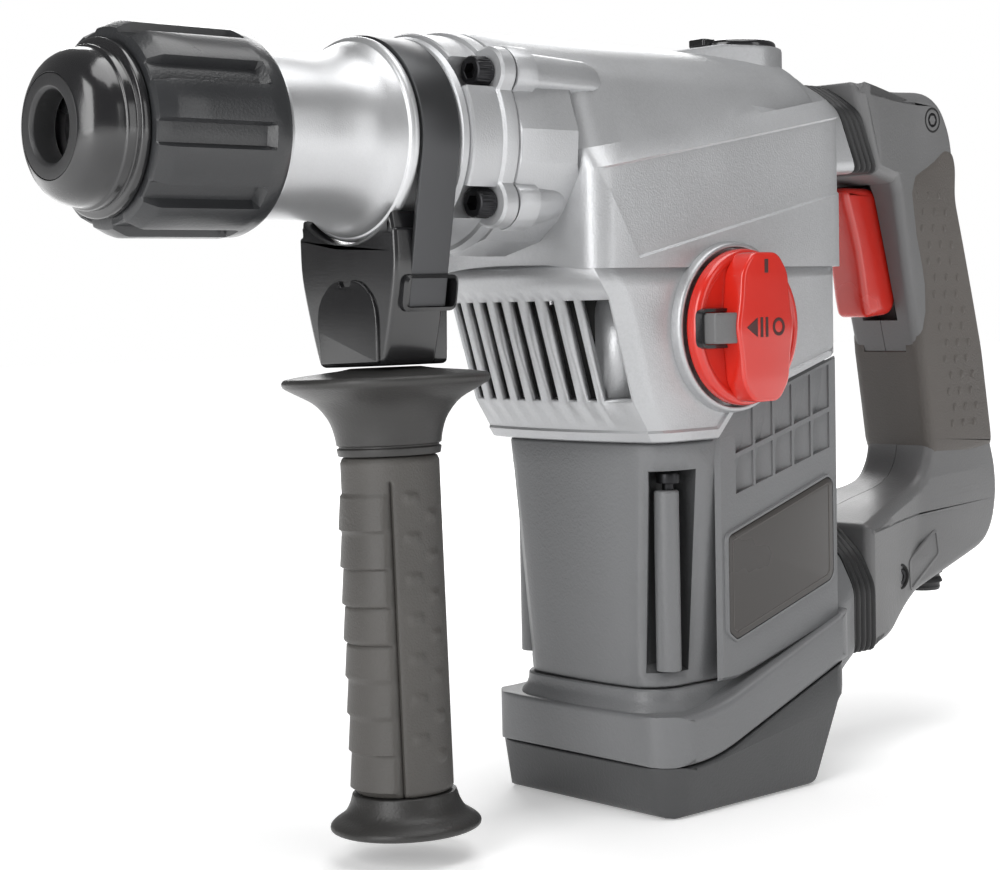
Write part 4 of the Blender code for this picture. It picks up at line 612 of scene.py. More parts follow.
def slab(name, outline, low, high, look, plane="yz", edge=1.0, reach=0.0, place=None, sharp=32.0):
    """A plate from an outline, with a rounded rim at both faces: the ring at depth d inside the rim is the
    outline inset by edge - sqrt(edge edge - (edge - d)(edge - d))."""
    path = rounded(outline, reach) if np.any(reach) else np.asarray(outline, float)
    rim = np.array([0.0, 0.13, 0.4, 0.75, 1.0]) * edge
    pull = edge - np.sqrt(np.maximum(edge ** 2 - (edge - rim) ** 2, 0.0))
    steps = [(low + d, p) for d, p in zip(rim, pull)] + [(high - d, p) for d, p in zip(rim[::-1], pull[::-1])]
    rings = []
    for depth, drawn in steps:
        ring = inset(path, drawn)
        one, two, flat = ring[:, 0], ring[:, 1], np.full(len(ring), depth)
        rings.append(np.stack({"yz": (flat, one, two), "xz": (one, flat, two), "xy": (one, two, flat)}[plane],
                              -1))
    rings = np.array(rings)
    return skin(name, place(rings) if place else rings, look, sharp=sharp, cap=4)


saddle = np.radians(np.linspace(-133.0, -47.0, 25))
block_outline = np.concatenate([np.stack([35.0 * np.cos(saddle), 35.0 * np.sin(saddle)], -1),
                                rounded([(26.0, -31.0), (26.2, -45.0), (22.0, -62.0), (17.6, -76.4),
                                         (-17.6, -76.4), (-22.0, -62.0), (-26.2, -45.0), (-26.0, -31.0)],
                                        [1.5, 8.0, 8.0, 2.5, 2.5, 8.0, 8.0, 1.5])]) + (0.0, AXIS)
block = slab("clamp_block_front", block_outline, SIDE_X - 15.0, SIDE_X + 7.7, gloss_black, edge=1.8,
             place=leaning)
dress(block, "side_clamp", "gloss_black_nylon", "clamp_block", "clamp_bolt")
heel = slab("clamp_block_heel", np.array([(19.0, -44.5), (17.0, -76.4), (-17.0, -76.4), (-19.0, -44.5)])
            + (0.0, AXIS), SIDE_X + 7.0, SIDE_X + 14.0, gloss_black, edge=1.6, reach=[3.0, 2.0, 2.0, 3.0],
            place=leaning)
dress(heel, "side_clamp", "gloss_black_nylon")
plate_outline = np.array([(15.5, -75.6), (16.5, -56.0), (9.0, -48.2), (3.2, -47.2), (2.6, -49.4),
                          (-2.6, -49.4), (-3.2, -47.2), (-9.0, -48.2), (-16.5, -56.0),
                          (-15.5, -75.6)]) + (0.0, AXIS)
insert = slab("clamp_block_plate", plate_outline, SIDE_X - 16.2, SIDE_X - 13.0, gloss_black, edge=0.7,
              reach=[1.0, 8.0, 5.0, 0.6, 0.8, 0.8, 0.6, 5.0, 8.0, 1.0], place=leaning)
dress(insert, "side_clamp", "gloss_black_nylon")
for side in (-1.0, 1.0):
    # A lip frames the mouth where each leg of the strap goes into the block.
    lip_path = rounded([(SIDE_X - 10.6, AXIS - 48.0), (SIDE_X - 10.6, AXIS - 57.6),
                        (SIDE_X + 10.6, AXIS - 57.6), (SIDE_X + 10.6, AXIS - 48.0)], 2.0)
    outer, inner = inset(lip_path, -1.2), lip_path
    walls = []
    for ring, out in ((outer, 22.0), (outer, 27.2), (inner, 27.8), (inner, 22.0)):
        lean_in = (AXIS - ring[:, 1] - 45.0) * 0.2
        walls.append(np.stack([ring[:, 0], side * (out - np.maximum(lean_in, 0.0)), ring[:, 1]], -1))
    mouth = skin("clamp_mouth_%s" % ("near" if side < 0 else "far"), leaning(walls), gloss_black, loop=True)
    dress(mouth, "side_clamp", "gloss_black_nylon")

# ---------------------------------------------------------------- side handle
# A dark nylon core with a wide disc at the top and a smaller one at the foot carries a rubber grip.
# The rubber has finger ribs in front and a smooth panel with raised dashes towards the tool.
core_black = finish_of("handle_core_nylon", (0.032, 0.031, 0.030), 0.4, grain=1000.0, bump=0.05, tone=0.1)
rubber = finish_of("grip_rubber", (0.075, 0.071, 0.066), 0.5, grain=1300.0, bump=0.07, tone=0.12)
GRIP_TOP = 107.0
GRIP_END = 222.0
FOOT = 235.4
GRIP_R = 17.4


def hanging(profile, name, look, reach, steps=96):
    """A lathe round the leaning side handle; the profile runs down from the barrel axis."""
    made = lathe(name, [(radius, AXIS - down) for radius, down in profile], look, (SIDE_X, 0.0, 0.0), "z",
                 steps, reach)
    up_to_axis = Matrix.Translation((0.0, 0.0, AXIS * MM))
    made.data.transform(up_to_axis @ Matrix.Rotation(LEAN, 4, "X") @ up_to_axis.inverted())
    return made


core_profile = [(0.0, 76.9), (12.0, 76.9), (16.0, 77.6), (30.0, 79.0), (35.0, 79.9), (35.9, 81.2),
                (35.4, 82.8), (31.0, 85.2), (24.5, 88.6), (20.0, 94.5), (18.4, 100.0), (18.0, 103.0),
                (17.2, 103.3), (17.2, 103.9), (18.0, 104.2), (17.6, GRIP_TOP - 0.3), (13.5, GRIP_TOP - 0.3),
                (13.5, GRIP_END + 0.3), (GRIP_R + 0.5, GRIP_END + 0.3), (GRIP_R + 1.4, GRIP_END + 3.5),
                (20.5, GRIP_END + 7.0), (24.6, FOOT - 3.8), (26.0, FOOT - 2.4), (26.0, FOOT - 0.9),
                (24.4, FOOT), (0.0, FOOT)]
core = hanging(core_profile, "side_handle_core", core_black, [0, 0.3, 0.5, 2.0, 0.8, 1.0, 1.2, 2.5, 4.0, 4.0,
                                                              2.0, 0.3, 0.2, 0.2, 0.3, 0.4, 0.2, 0.2, 0.5,
                                                              1.0, 2.0, 1.5, 0.7, 0.7, 1.0, 0])
dress(core, "side_grip", "dark_nylon", "handle_core")

# The grip's radius is GRIP_R, plus a rib wave on the front half, less a seam groove, with a smooth
# panel behind.
down = np.concatenate([[GRIP_TOP, GRIP_TOP + 0.5], np.linspace(GRIP_TOP + 2.0, GRIP_END - 1.5, 150),
                       [GRIP_END - 0.4, GRIP_END]])
grip_turn = np.linspace(0.0, 2.0 * math.pi, 144, endpoint=False)
RIB_PITCH = 12.6
FACE = math.radians(141.0)
facing = np.cos(grip_turn - FACE)
rib_share = np.clip((facing - 0.06) / 0.1, 0.0, 1.0)
phase = np.mod((down - GRIP_TOP - 13.0) / RIB_PITCH, 1.0)
rib_wave = np.where((down > GRIP_TOP + 13.0) & (down < GRIP_TOP + 13.0 + 8 * RIB_PITCH),
                    1.7 * np.minimum(1.0, (1.0 - phase) / 0.08) * (0.35 + 0.65 * phase), 0.0)
seam = 1.5 * np.exp(-((facing - 0.02) / 0.03) ** 2) * (down > GRIP_TOP + 8.0)[:, None]
grip_radius = GRIP_R - 0.4 + (rib_wave[:, None] * rib_share) - seam
grip_radius -= 1.4 * np.clip((1.5 - (down - GRIP_TOP)) / 1.5, 0.0, 1.0)[:, None] ** 2
grip_radius -= 1.0 * np.clip((1.5 - (GRIP_END - down)) / 1.5, 0.0, 1.0)[:, None] ** 2
dash = np.zeros_like(grip_radius)
for centre, start in ((254.0, 14.0), (282.0, 20.5)):
    across_dash = np.clip(1.6 - np.abs(grip_turn - math.radians(centre)) / 0.12, 0.0, 1.0)
    for k in range(7):
        along_dash = np.clip(1.6 - np.abs(down - GRIP_TOP - start - k * 13.6) / 1.5, 0.0, 1.0)
        dash = np.maximum(dash, along_dash[:, None] * across_dash)
grip_radius += 0.9 * dash
outer_wall = np.stack([SIDE_X + grip_radius * np.cos(grip_turn), grip_radius * np.sin(grip_turn),
                       np.broadcast_to(AXIS - down[:, None], grip_radius.shape)], -1)
inner_wall = np.stack([SIDE_X + 13.6 * np.cos(grip_turn), 13.6 * np.sin(grip_turn), np.zeros_like(grip_turn)],
                      -1)
bottom, top = inner_wall + (0.0, 0.0, AXIS - GRIP_END), inner_wall + (0.0, 0.0, AXIS - GRIP_TOP)
grip = skin("side_grip_cover", leaning(np.concatenate([outer_wall, bottom[None], top[None]])), rubber,
            loop=True, sharp=50.0)
dress(grip, "side_grip", "soft_rubber", "side_grip_rubber")

# ---------------------------------------------------------------- upper gearbox shell
# The die-cast upper half, painted light grey. A round barrel seat runs into a box with a recessed side
# panel, a bevel strip and sloping shoulders, and ribs carry the bolt lugs.
SEAM = span("gearbox_upper")[0][2]
CASE_FRONT, CASE_REAR = -77.0, 54.0
CASE_W = 46.0
TUBE_R = 39.2
COVER_X = cover_high[0] + 0.35


def tube_half(x, radius):
    """Half of a round section, with its points spread like those of the box section."""
    turn = np.radians(np.concatenate([[-90.0, -62.0, -45.0, -38.0, -36.0, -14.0, -12.0, 4.0, 33.0],
                                      np.linspace(33.0, 90.0, 9)[1:]]))
    return np.stack([np.full_like(turn, x), radius * np.cos(turn), AXIS + radius * np.sin(turn)], -1)


def box_half(x, drawn, rear=0.0):
    """Half of a box section at x: floor, lower strip, recessed panel, bevel strip, shoulder and round top."""
    wide = CASE_W - drawn
    panel_low = max(203.0 + (x + 57.6) * 0.22, 234.0 - (x + 76.0) * 1.72)
    panel_high = 234.0 + (x + 77.0) * 0.176
    panel_low = min(panel_low, panel_high - 2.0)
    crease = 266.5 - (x + 70.0) * 0.085 - rear
    hollow = 0.8 * min(1.0, max(0.0, (panel_high - panel_low - 2.0) / 2.0))
    turn = np.linspace(math.atan2(crease - AXIS, 33.2), math.pi / 2.0, 9)
    top = TUBE_R - rear * 0.5
    side = [(0.0, SEAM), (wide * 0.55, SEAM), (wide, SEAM), (wide, panel_low),
            (wide - hollow, panel_low + hollow), (wide - hollow, panel_high - hollow), (wide, panel_high),
            (wide - 5.6, panel_high + 7.0)]
    side += list(zip(top * np.cos(turn), AXIS + top * np.sin(turn)))
    return np.concatenate([np.full((len(side), 1), x), np.array(side)], 1)


def mirrored(half):
    """A whole ring from its near half: the points run down one side and up the other."""
    near_part = half * (1.0, -1.0, 1.0)
    return np.concatenate([near_part, half[1:-1][::-1]])


CORNER = 9.0
corner_depths = np.array([0.0, 0.5, 1.6, 3.4, 5.8, CORNER])
upper_rings = [mirrored(tube_half(x, radius)) for x, radius in (
    (COVER_X, 37.4), (COVER_X + 0.6, 38.3), (COVER_X + 3.0, 38.9), (-92.0, TUBE_R), (-79.8, TUBE_R))]
upper_rings += [mirrored(box_half(CASE_FRONT + d - 1.2, CORNER - math.sqrt(CORNER ** 2 - (CORNER - d) ** 2)))
                for d in corner_depths]
upper_rings += [mirrored(box_half(x, 0.0)) for x in (-57.6, -45.0, -30.0, -15.0, 0.0, 15.0, 30.0, 42.0,
                                                     50.0)]
upper_rings += [mirrored(box_half(CASE_REAR + d, p, 2.0 * p))
                for d, p in ((-1.5, 0.4), (0.5, 1.2), (1.6, 2.4), (2.0, 4.0))]
upper = skin("gearbox_upper_casting", upper_rings, magnesium, sharp=20.0)
dress(upper, "housing", "painted_magnesium", "gearbox_upper")

# The arm that the upper gaiter grips, leaning with it.
ARM_FOOT = AXIS + 16.0
arm_rings = []
for x, wide, low, high, lean_share in ((46.0, 33.0, 234.0, 279.0, 0.0), (57.0, 32.6, 235.0, 277.5, 0.0),
                                       (66.0, 31.6, 236.5, 275.0, 0.6), (72.6, 31.0, 237.0, 273.9, 1.0),
                                       (73.6, 30.2, 237.8, 273.1, 1.0)):
    ring = rounded([(0.0, low), (wide, low), (wide, low + 24.0), (0.8 * wide, high - 6.0), (0.5 * wide, high),
                    (-0.5 * wide, high), (-0.8 * wide, high - 6.0), (-wide, low + 24.0), (-wide, low)],
                   [0.0, 5.0, 4.0, 4.0, 4.0, 4.0, 4.0, 4.0, 5.0])
    arm_rings.append(np.stack([x + lean_share * 0.48 * (ARM_FOOT - ring[:, 1]), ring[:, 0], ring[:, 1]], -1))
arm = skin("gearbox_arm", arm_rings, magnesium)
dress(arm, "housing", "painted_magnesium")

# Ribs behind the four bolts: boxy and long above, short and bright below.
rib_section = rounded([(-9.0, -8.4), (4.6, -8.6), (7.6, -5.0), (8.8, 0.0), (7.6, 5.0), (4.6, 8.6),
                       (-9.0, 8.4)], 1.6)
for side, word in ((-1.0, "near"), (1.0, "far")):
    for up, level_word, end in ((1.0, "upper", -60.0), (-1.0, "lower", -79.0)):
        turn = math.atan2(up * BOLT_UP, side * BOLT_Y)
        rib_rings = []
        for x, scale, shift in ((COVER_X, 0.96, 0.0), (COVER_X + 0.6, 1.0, 0.0), (COVER_X + 9.0, 1.0, 0.0),
                                (COVER_X + 10.0, 0.86, -0.6), (end - 8.0, 0.8, -1.5), (end - 3.0, 0.7, -2.2),
                                (end - 0.8, 0.5, -3.6), (end, 0.25, -5.0)):
            radial, across_rib = rib_section[:, 0] * scale + shift, rib_section[:, 1] * scale
            rib_rings.append(np.stack([np.full_like(radial, x), side * BOLT_Y + radial * math.cos(turn)
                                       - across_rib * math.sin(turn),
                                       AXIS + up * BOLT_UP + radial * math.sin(turn)
                                       + across_rib * math.cos(turn)], -1))
        rib = skin("lug_rib_%s_%s" % (level_word, word), rib_rings, magnesium, sharp=35.0)
        dress(rib, "housing", "painted_magnesium")

# The boss of the grease chamber: the outline is the hull of a circle and a point ahead of it, so
# r = R / cos(b - |a|) for angles a within b of the point, and its top slopes down towards the point.
BOSS_X = 45.0
BOSS_R = 19.4
TIP = 64.0
boss_turn = np.linspace(-math.pi, math.pi, 120, endpoint=False)
lead = math.acos(BOSS_R / TIP)
boss_radius = BOSS_R / np.cos(np.maximum(lead - np.abs(boss_turn), 0.0))
boss_rings = []
for grow, rise_by, flat in ((1.10, 10.0, 0.0), (1.03, 22.0, 0.0), (1.0, 30.0, 0.5), (1.0, 40.6, 1.0),
                            (0.985, 41.6, 1.0), (0.95, 42.0, 1.0), (0.72, 42.0, 1.0), (0.70, 41.0, 1.0)):
    ring_x = BOSS_X - boss_radius * grow * np.cos(boss_turn)
    height = rise_by - flat * np.maximum(0.0, 24.0 - ring_x) * 0.16
    boss_rings.append(np.stack([ring_x, boss_radius * grow * np.sin(boss_turn), AXIS + height], -1))
boss = skin("grease_boss", boss_rings, magnesium, sharp=24.0)
dress(boss, "housing", "painted_magnesium")

# ---------------------------------------------------------------- grease cap
# A thin black disc closes the grease chamber; a small tab at its front stops it from turning.
grease = lathe("grease_cap_disc", [(0.0, AXIS + 45.0), (15.2, AXIS + 45.0), (16.6, AXIS + 44.4),
                                   (17.0, AXIS + 43.4), (17.0, AXIS + 42.3), (12.0, AXIS + 42.3),
                                   (12.0, AXIS + 31.0), (0.0, AXIS + 31.0)], gloss_black, (BOSS_X, 0.0, 0.0),
               "z", 96, [0.0, 0.5, 0.6, 0.3, 0.3, 0.3, 0.3, 0.0])
dress(grease, "housing", "gloss_black_nylon", "grease_cap")
tab = slab("grease_cap_tab", [(BOSS_X - 21.5, -4.0), (BOSS_X - 14.0, -4.0), (BOSS_X - 14.0, 4.0),
                              (BOSS_X - 21.5, 4.0)], AXIS + 42.1, AXIS + 45.2, gloss_black, "xy", 0.6, 1.0)
dress(tab, "housing", "gloss_black_nylon")

# ---------------------------------------------------------------- lower gearbox shell
# The lower half of the casting leans forward to the seam and ends in a bright lip over the motor.
# Its bulged front has eight cooling slots and a large opening at the near corner.
LIP_Z = 137.0
WALL_TOP = SEAM - 0.05
LOWER_W = 45.2
SLOT_EDGES = [37.5 - 8.9 * k + d for k in range(8) for d in (2.4, -2.4)]


def border(x):
    """Height of the stepped edge between the gearbox and the motor housing."""
    return np.interp(x, [-90.0, -18.0, -7.0, 74.0], [LIP_Z, LIP_Z, 148.5, 172.8])


def front_x(z):
    """Front of the gearbox at the side of its face, read off the section."""
    return np.interp(z, [LIP_Z, 152.0, 188.6, 199.3], [-48.5, -58.5, -69.5, -77.0])


front_y = np.array(SLOT_EDGES + [-29.6, -41.6])
front_y = np.concatenate([[42.0], front_y, [-42.2]])[::-1]
side_x = np.array([54.0, 52.5, 47.0, 35.0, 20.0, 5.0, -7.0, -18.0, -30.0])
side_y = np.array([-37.0, -43.0, -45.2, -45.2, -45.2, -45.2, -45.2, -45.2, -45.2])
lower_rings = []
for level, proud in ((LIP_Z + 0.1, 0.2), (LIP_Z + 0.6, 0.9), (LIP_Z + 3.6, 1.0), (LIP_Z + 4.6, 0.0),
                     (152.0, 0.0), (170.0, 0.0), (188.6, 0.0), (193.0, 0.0), (WALL_TOP, 0.0)):
    share = (level - LIP_Z) / (WALL_TOP - LIP_Z)
    tops = border(side_x) + (WALL_TOP - border(side_x)) * share
    near_side = np.stack([side_x, side_y - proud * (side_y < -44.0), tops], -1)
    nose = front_x(level)
    chamfer = np.array([[nose + 9.0, -LOWER_W - proud, level], [nose + 5.0, -44.4 - proud, level]])
    face = np.stack([nose - proud - 5.5 * (1.0 - (front_y / 42.2) ** 2) + 0.4, front_y,
                     np.full(len(front_y), level)], -1)
    lower_rings.append(np.concatenate([near_side, chamfer, face, (chamfer * (1.0, -1.0, 1.0))[::-1],
                                       (near_side * (1.0, -1.0, 1.0))[::-1]]))
lower_rings = np.array(lower_rings)
keep = np.ones((len(lower_rings) - 1, lower_rings.shape[1]), bool)
first_front = len(side_x) + 2
for opening in [1] + list(range(3, 3 + 16, 2)):
    keep[4:6, first_front + opening] = False
lower = skin("gearbox_lower_casting", lower_rings, magnesium, ends=False, keep=keep, sharp=24.0, wall=3.0)
dress(lower, "housing", "painted_magnesium", "gearbox_lower")

KNOB_X, KNOB_Z = -10.0, LIP_Z + 40.6
selector_ring = lathe("selector_ring", [(30.0, -44.0), (31.6, -44.6), (31.0, -48.2), (30.3, -49.0),
                                        (29.3, -49.0), (29.0, -48.0), (29.0, -44.6)], magnesium,
                      (KNOB_X, 0.0, KNOB_Z), "y", 112, [0.3, 0.4, 0.6, 0.4, 0.3, 0.3, 0.3])
dress(selector_ring, "housing", "painted_magnesium")
duct = [np.stack([-49.0 + 9.0 * np.cos(np.linspace(2.0, 4.5, 14)),
                  -27.0 + 9.0 * np.sin(np.linspace(2.0, 4.5, 14)), np.full(14, z)], -1)
        for z in (150.5, 190.5)]
duct_wall = skin("grille_duct", duct, magnesium, wrap=False, ends=False, wall=1.2)
dress(duct_wall, "housing", "painted_magnesium")
# A near-black matte finish that paints shade. A sheet of it behind the cooling slots stands for the shade
# inside the casing, and it also darkens the handle's screw counterbores.
painted_shade_look = finish_of("painted_shade_black", (0.012, 0.012, 0.012), 0.8, bump=0.0)
shade_sheet_rows = [np.stack([front_x(z) + 13.0 + np.zeros(2), np.array([-41.5, 41.5]), np.full(2, z)], -1)
           for z in (148.0, 192.0)]
shade_sheet_wall = skin("grille_painted_shade", shade_sheet_rows, painted_shade_look, wrap=False, ends=False, wall=0.6)
dress(shade_sheet_wall, "housing", "painted_magnesium")

# ---------------------------------------------------------------- motor housing
# The motor stands in a mid-grey nylon housing with a fine matte grain. Tall pockets in its front corners
# hold screws, and raised pads on its sides carry ten slanting ventilation tiles and the plate.
grey_nylon = finish_of("grey_nylon", (0.17, 0.173, 0.178), 0.42, grain=1000.0, bump=0.06, tone=0.06,
                       speckle=0.1)
# Dark nylon for the dark parts, also used as painted shade on the walls and floors of the motor's screw
# pockets.
dark_nylon = finish_of("dark_nylon", (0.055, 0.056, 0.058), 0.4, grain=950.0, bump=0.06, tone=0.07,
                       speckle=0.1)
MOTOR_Z = 46.0
POCKET_LOW, POCKET_HIGH = 52.0, 126.5
REAR_X = 52.0


def foot_line(x):
    """Height at which the motor housing stands on the base."""
    return MOTOR_Z + np.maximum(0.0, x + 5.0) * 0.27


def motor_outline(share):
    """The near half of the housing's plan at a share of its height, from the rear corner to the front."""
    wide = 36.5 + 6.5 * share
    nose = -44.0 - 3.5 * share
    rear_turn = np.radians([90.0, 60.0, 30.0, 0.0])
    rear = np.stack([REAR_X - 7.0 + 7.0 * np.sin(rear_turn), -(wide - 7.0) - 7.0 * np.cos(rear_turn)], -1)
    side = np.array([[x, -wide] for x in (36.0, 20.0, 5.0, -5.0, -7.0, -18.0, -26.5)])
    front_turn = np.radians([0.0, 14.0, 28.0, 42.0, 58.0, 74.0, 90.0])
    front = np.stack([nose + 14.0 - 14.0 * np.sin(front_turn), -(wide - 14.0) - 14.0 * np.cos(front_turn)],
                     -1)
    return np.concatenate([[[REAR_X, 0.0]], rear, side, front, [[nose - 0.8, -12.0], [nose - 1.0, 0.0]]])


POCKET_FIRST, POCKET_LAST = 11, 16
low_share = (POCKET_LOW - MOTOR_Z - 0.35) / (LIP_Z - MOTOR_Z - 0.7)
high_share = (POCKET_HIGH - MOTOR_Z - 0.35) / (LIP_Z - MOTOR_Z - 0.7)
heights = [0.0, 0.008, low_share, 0.25, 0.5, 0.75, high_share, 0.985, 1.0]
motor_rings = []
for share in heights:
    plan = motor_outline(share)
    if share in (0.0, 1.0):
        plan = plan * (0.992, 0.988)
    whole = np.concatenate([plan, (plan[1:-1] * (1.0, -1.0))[::-1]])
    low_edge, high_edge = foot_line(whole[:, 0]) + 0.35, border(whole[:, 0]) - 0.35
    motor_rings.append(np.concatenate([whole, (low_edge + (high_edge - low_edge) * share)[:, None]], 1))
motor_rings = np.array(motor_rings)
columns = motor_rings.shape[1]
keep = np.ones((len(heights) - 1, columns), bool)
keep[2:6, POCKET_FIRST:POCKET_LAST] = False
keep[2:6, columns - POCKET_LAST:columns - POCKET_FIRST] = False
motor = skin("motor_housing_shell", motor_rings, grey_nylon, ends=False, keep=keep, sharp=28.0, wall=2.0)
dress(motor, "housing", "grey_nylon", "motor_housing")

low_screw, high_screw = span("motor_screw_near")
SCREW_X, SCREW_Y = (low_screw[0] + high_screw[0]) / 2.0, -(low_screw[1] + high_screw[1]) / 2.0
for side, word in ((-1.0, "near"), (1.0, "far")):
    flip = (1.0, -side, 1.0)
    mouth = np.concatenate([motor_rings[2, POCKET_FIRST:POCKET_LAST + 1], motor_rings[3:6, POCKET_LAST],
                            motor_rings[6, POCKET_FIRST:POCKET_LAST + 1][::-1],
                            motor_rings[3:6, POCKET_FIRST][::-1]])
    shelf = mouth * (1.0, 0.0, 1.0) + np.array([0.0, -30.0, 0.0])
    shelf[:, 0] = np.clip(shelf[:, 0], -43.6, -27.0)
    shelf[:, 2] = np.clip(shelf[:, 2], POCKET_LOW + 3.0, POCKET_HIGH - 1.0)
    # The walls and floor of each pocket are coloured dark nylon as painted shade in the recess. The pillar
    # keeps the housing's grey.
    shaded_pocket_wall = skin("screw_pocket_" + word, np.array([shelf, mouth]) * flip, dark_nylon, ends=False, wall=0.0)
    shaded_pocket_floor = skin("screw_pocket_floor_" + word, np.array([shelf, shelf + (0.0, 0.8, 0.0)]) * flip,
                       dark_nylon)
    pillar = lathe("screw_pillar_" + word, [(0.0, POCKET_LOW + 1.0), (4.6, POCKET_LOW + 1.0), (4.6, 118.6),
                                            (4.0, 119.2), (0.0, 119.2)], grey_nylon,
                   (SCREW_X - 1.0, side * SCREW_Y, 0.0), "z", 40, [0.0, 0.3, 0.6, 0.4, 0.0])
    for piece in (shaded_pocket_wall, shaded_pocket_floor, pillar):
        dress(piece, "housing", "grey_nylon")
    screw = lathe("motor_screw_head_" + word, [
        (0.0, 122.9), (2.1, 122.9), (2.3, 126.1), (3.7, 126.1), (4.4, 125.2), (4.4, 121.7), (2.2, 121.5),
        (2.2, 116.0), (0.0, 116.0)], black_steel, (SCREW_X, side * SCREW_Y, 0.0), "z", 36,
        [0, 0.2, 0.3, 0.4, 0.4, 0.3, 0.2, 0.2, 0])
    dress(screw, "housing", "dark_steel", "motor_screw_" + word)

# The pads: a height field over (x, height). Inside a tile the surface runs from deep at its front edge to
# nearly flush at its rear edge, y = face - depth (1 - u), with u the share of the way across the tile.
PAD_Y = 43.9
TILE_DEPTH = 3.2
TILE_STARTS = np.linspace(-6.5, 49.5, 6)
pad_x = [-16.6, -16.2, -15.0, -12.0, -8.0]
pad_u = [0.0] * 5
for start, end in zip(TILE_STARTS[:-1], TILE_STARTS[1:]):
    pad_x += [start, start + 0.05, end - 1.3, end - 1.25]
    pad_u += [0.0, 1.0, 0.25, 0.0]
pad_x += [51.0, 52.2, 52.6]
pad_u += [0.0, 0.0, 0.0]
pad_x, pad_u = np.array(pad_x), np.array(pad_u)
row_top = 146.0 + (pad_x + 5.0) * 0.318
row_mid = 131.0 + (pad_x + 6.0) * 0.268
row_low = 116.0 + (pad_x + 6.0) * 0.255
upper_edge = np.minimum(border(pad_x) - 0.5, np.interp(pad_x, [-16.6, -7.5, 60.0], [137.5, 147.2, 167.4]))
row_top = np.minimum(row_top, upper_edge - 2.0)
lower_edge = foot_line(pad_x) + 1.0
pad_levels = [(lower_edge, 0.0, 1.2), (lower_edge + 1.2, 0.0, 0.0), (row_low - 0.05, 0.0, 0.0),
              (row_low, 1.0, 0.0), (row_mid - 2.0, 1.0, 0.0), (row_mid - 1.9, 0.0, 0.0),
              (row_mid - 0.05, 0.0, 0.0), (row_mid, 1.0, 0.0), (row_top, 1.0, 0.0),
              (row_top + 0.05, 0.0, 0.0), (upper_edge - 0.8, 0.0, 0.0), (upper_edge, 0.0, 0.8)]
rim = np.interp(pad_x, [-16.6, -15.0, 52.2, 52.6], [1.6, 0.0, 0.0, 0.6])
pad_field = np.array([np.stack([pad_x, -(PAD_Y - TILE_DEPTH * pad_u * inside - np.maximum(rim, edge_drop)),
                                level], -1) for level, inside, edge_drop in pad_levels])
for side, word in ((-1.0, "near"), (1.0, "far")):
    pad = skin("side_pad_" + word, pad_field * (1.0, -side, 1.0), grey_nylon, wrap=False, ends=False,
               sharp=25.0)
    dress(pad, "housing", "grey_nylon")

# ---------------------------------------------------------------- nameplate
# A blank plate of dark brown laminate, glued into a frame on the near pad.
label_brown = finish_of("label_laminate", (0.036, 0.031, 0.028), 0.34, grain=600.0, bump=0.004, coat=0.2)
label_ink = finish_of("label_ink", (0.075, 0.068, 0.062), 0.4, bump=0.0)
label_path = np.array([(-12.0, 100.5), (-12.0, 65.0), (-8.0, 62.0), (46.5, 78.5), (48.5, 81.5), (48.5, 116.5),
                       (46.0, 118.5)])
label_reach = [2.0, 1.0, 1.0, 1.5, 1.5, 1.5, 1.5]
label = slab("nameplate_sheet", label_path, -PAD_Y - 1.0, -PAD_Y + 0.2, label_brown, "xz", 0.25, label_reach)
dress(label, "housing", "label_plate", "nameplate")
rim_path = rounded(label_path, label_reach)
frame_rings = [np.stack([ring[:, 0], np.full(len(ring), y), ring[:, 1]], -1)
               for ring, y in ((inset(rim_path, -1.5), -PAD_Y + 0.2), (inset(rim_path, -1.1), -PAD_Y - 1.1),
                               (inset(rim_path, -0.3), -PAD_Y - 1.1), (inset(rim_path, -0.1), -PAD_Y + 0.2))]
label_frame = skin("nameplate_frame", frame_rings, grey_nylon, loop=True)
dress(label_frame, "housing", "grey_nylon")
line = [np.stack([ring[:, 0], np.full(len(ring), y), ring[:, 1]], -1)
        for ring, y in ((inset(rim_path, 2.0), -PAD_Y - 0.95), (inset(rim_path, 2.0), -PAD_Y - 1.08),
                        (inset(rim_path, 2.5), -PAD_Y - 1.08), (inset(rim_path, 2.5), -PAD_Y - 0.95))]
label_line = skin("nameplate_line", line, label_ink, loop=True)
dress(label_line, "housing", "label_plate")

# ---------------------------------------------------------------- mode selector and lock button
# A glossy red disc with a raised finger bar chooses the mode. Its face has a triangle, two bars and a
# ring as plain marks, and a grey button in a black slot locks it.
red_gloss = finish_of("red_nylon", (0.62, 0.022, 0.012), 0.24, grain=900.0, bump=0.01, tone=0.05, coat=0.5)
mark_dark = finish_of("mark_ink", (0.05, 0.006, 0.005), 0.5, bump=0.0)
light_grey = finish_of("light_grey_nylon", (0.15, 0.15, 0.152), 0.45, grain=1000.0, bump=0.05, tone=0.05,
                       speckle=0.1)
disc = lathe("mode_knob_disc", [(0.0, -49.4), (27.9, -49.4), (28.5, -50.2), (28.5, -53.2), (27.4, -54.6),
                                (25.6, -54.9), (24.6, -54.2), (0.0, -54.2)], red_gloss, (KNOB_X, 0.0, KNOB_Z),
             "y", 128, [0.0, 0.4, 0.5, 0.9, 1.0, 0.6, 0.5, 0.0])
dress(disc, "selector", "red_nylon", "mode_knob")
bar_path = np.array([(-7.0, 27.0), (7.0, 27.0), (12.5, 20.0), (13.5, 9.0), (15.5, 0.0), (13.5, -9.0),
                     (12.5, -20.0), (7.0, -27.0), (-7.0, -27.0), (-12.5, -20.0), (-13.5, -9.0), (-15.5, 0.0),
                     (-13.5, 9.0), (-12.5, 20.0)])
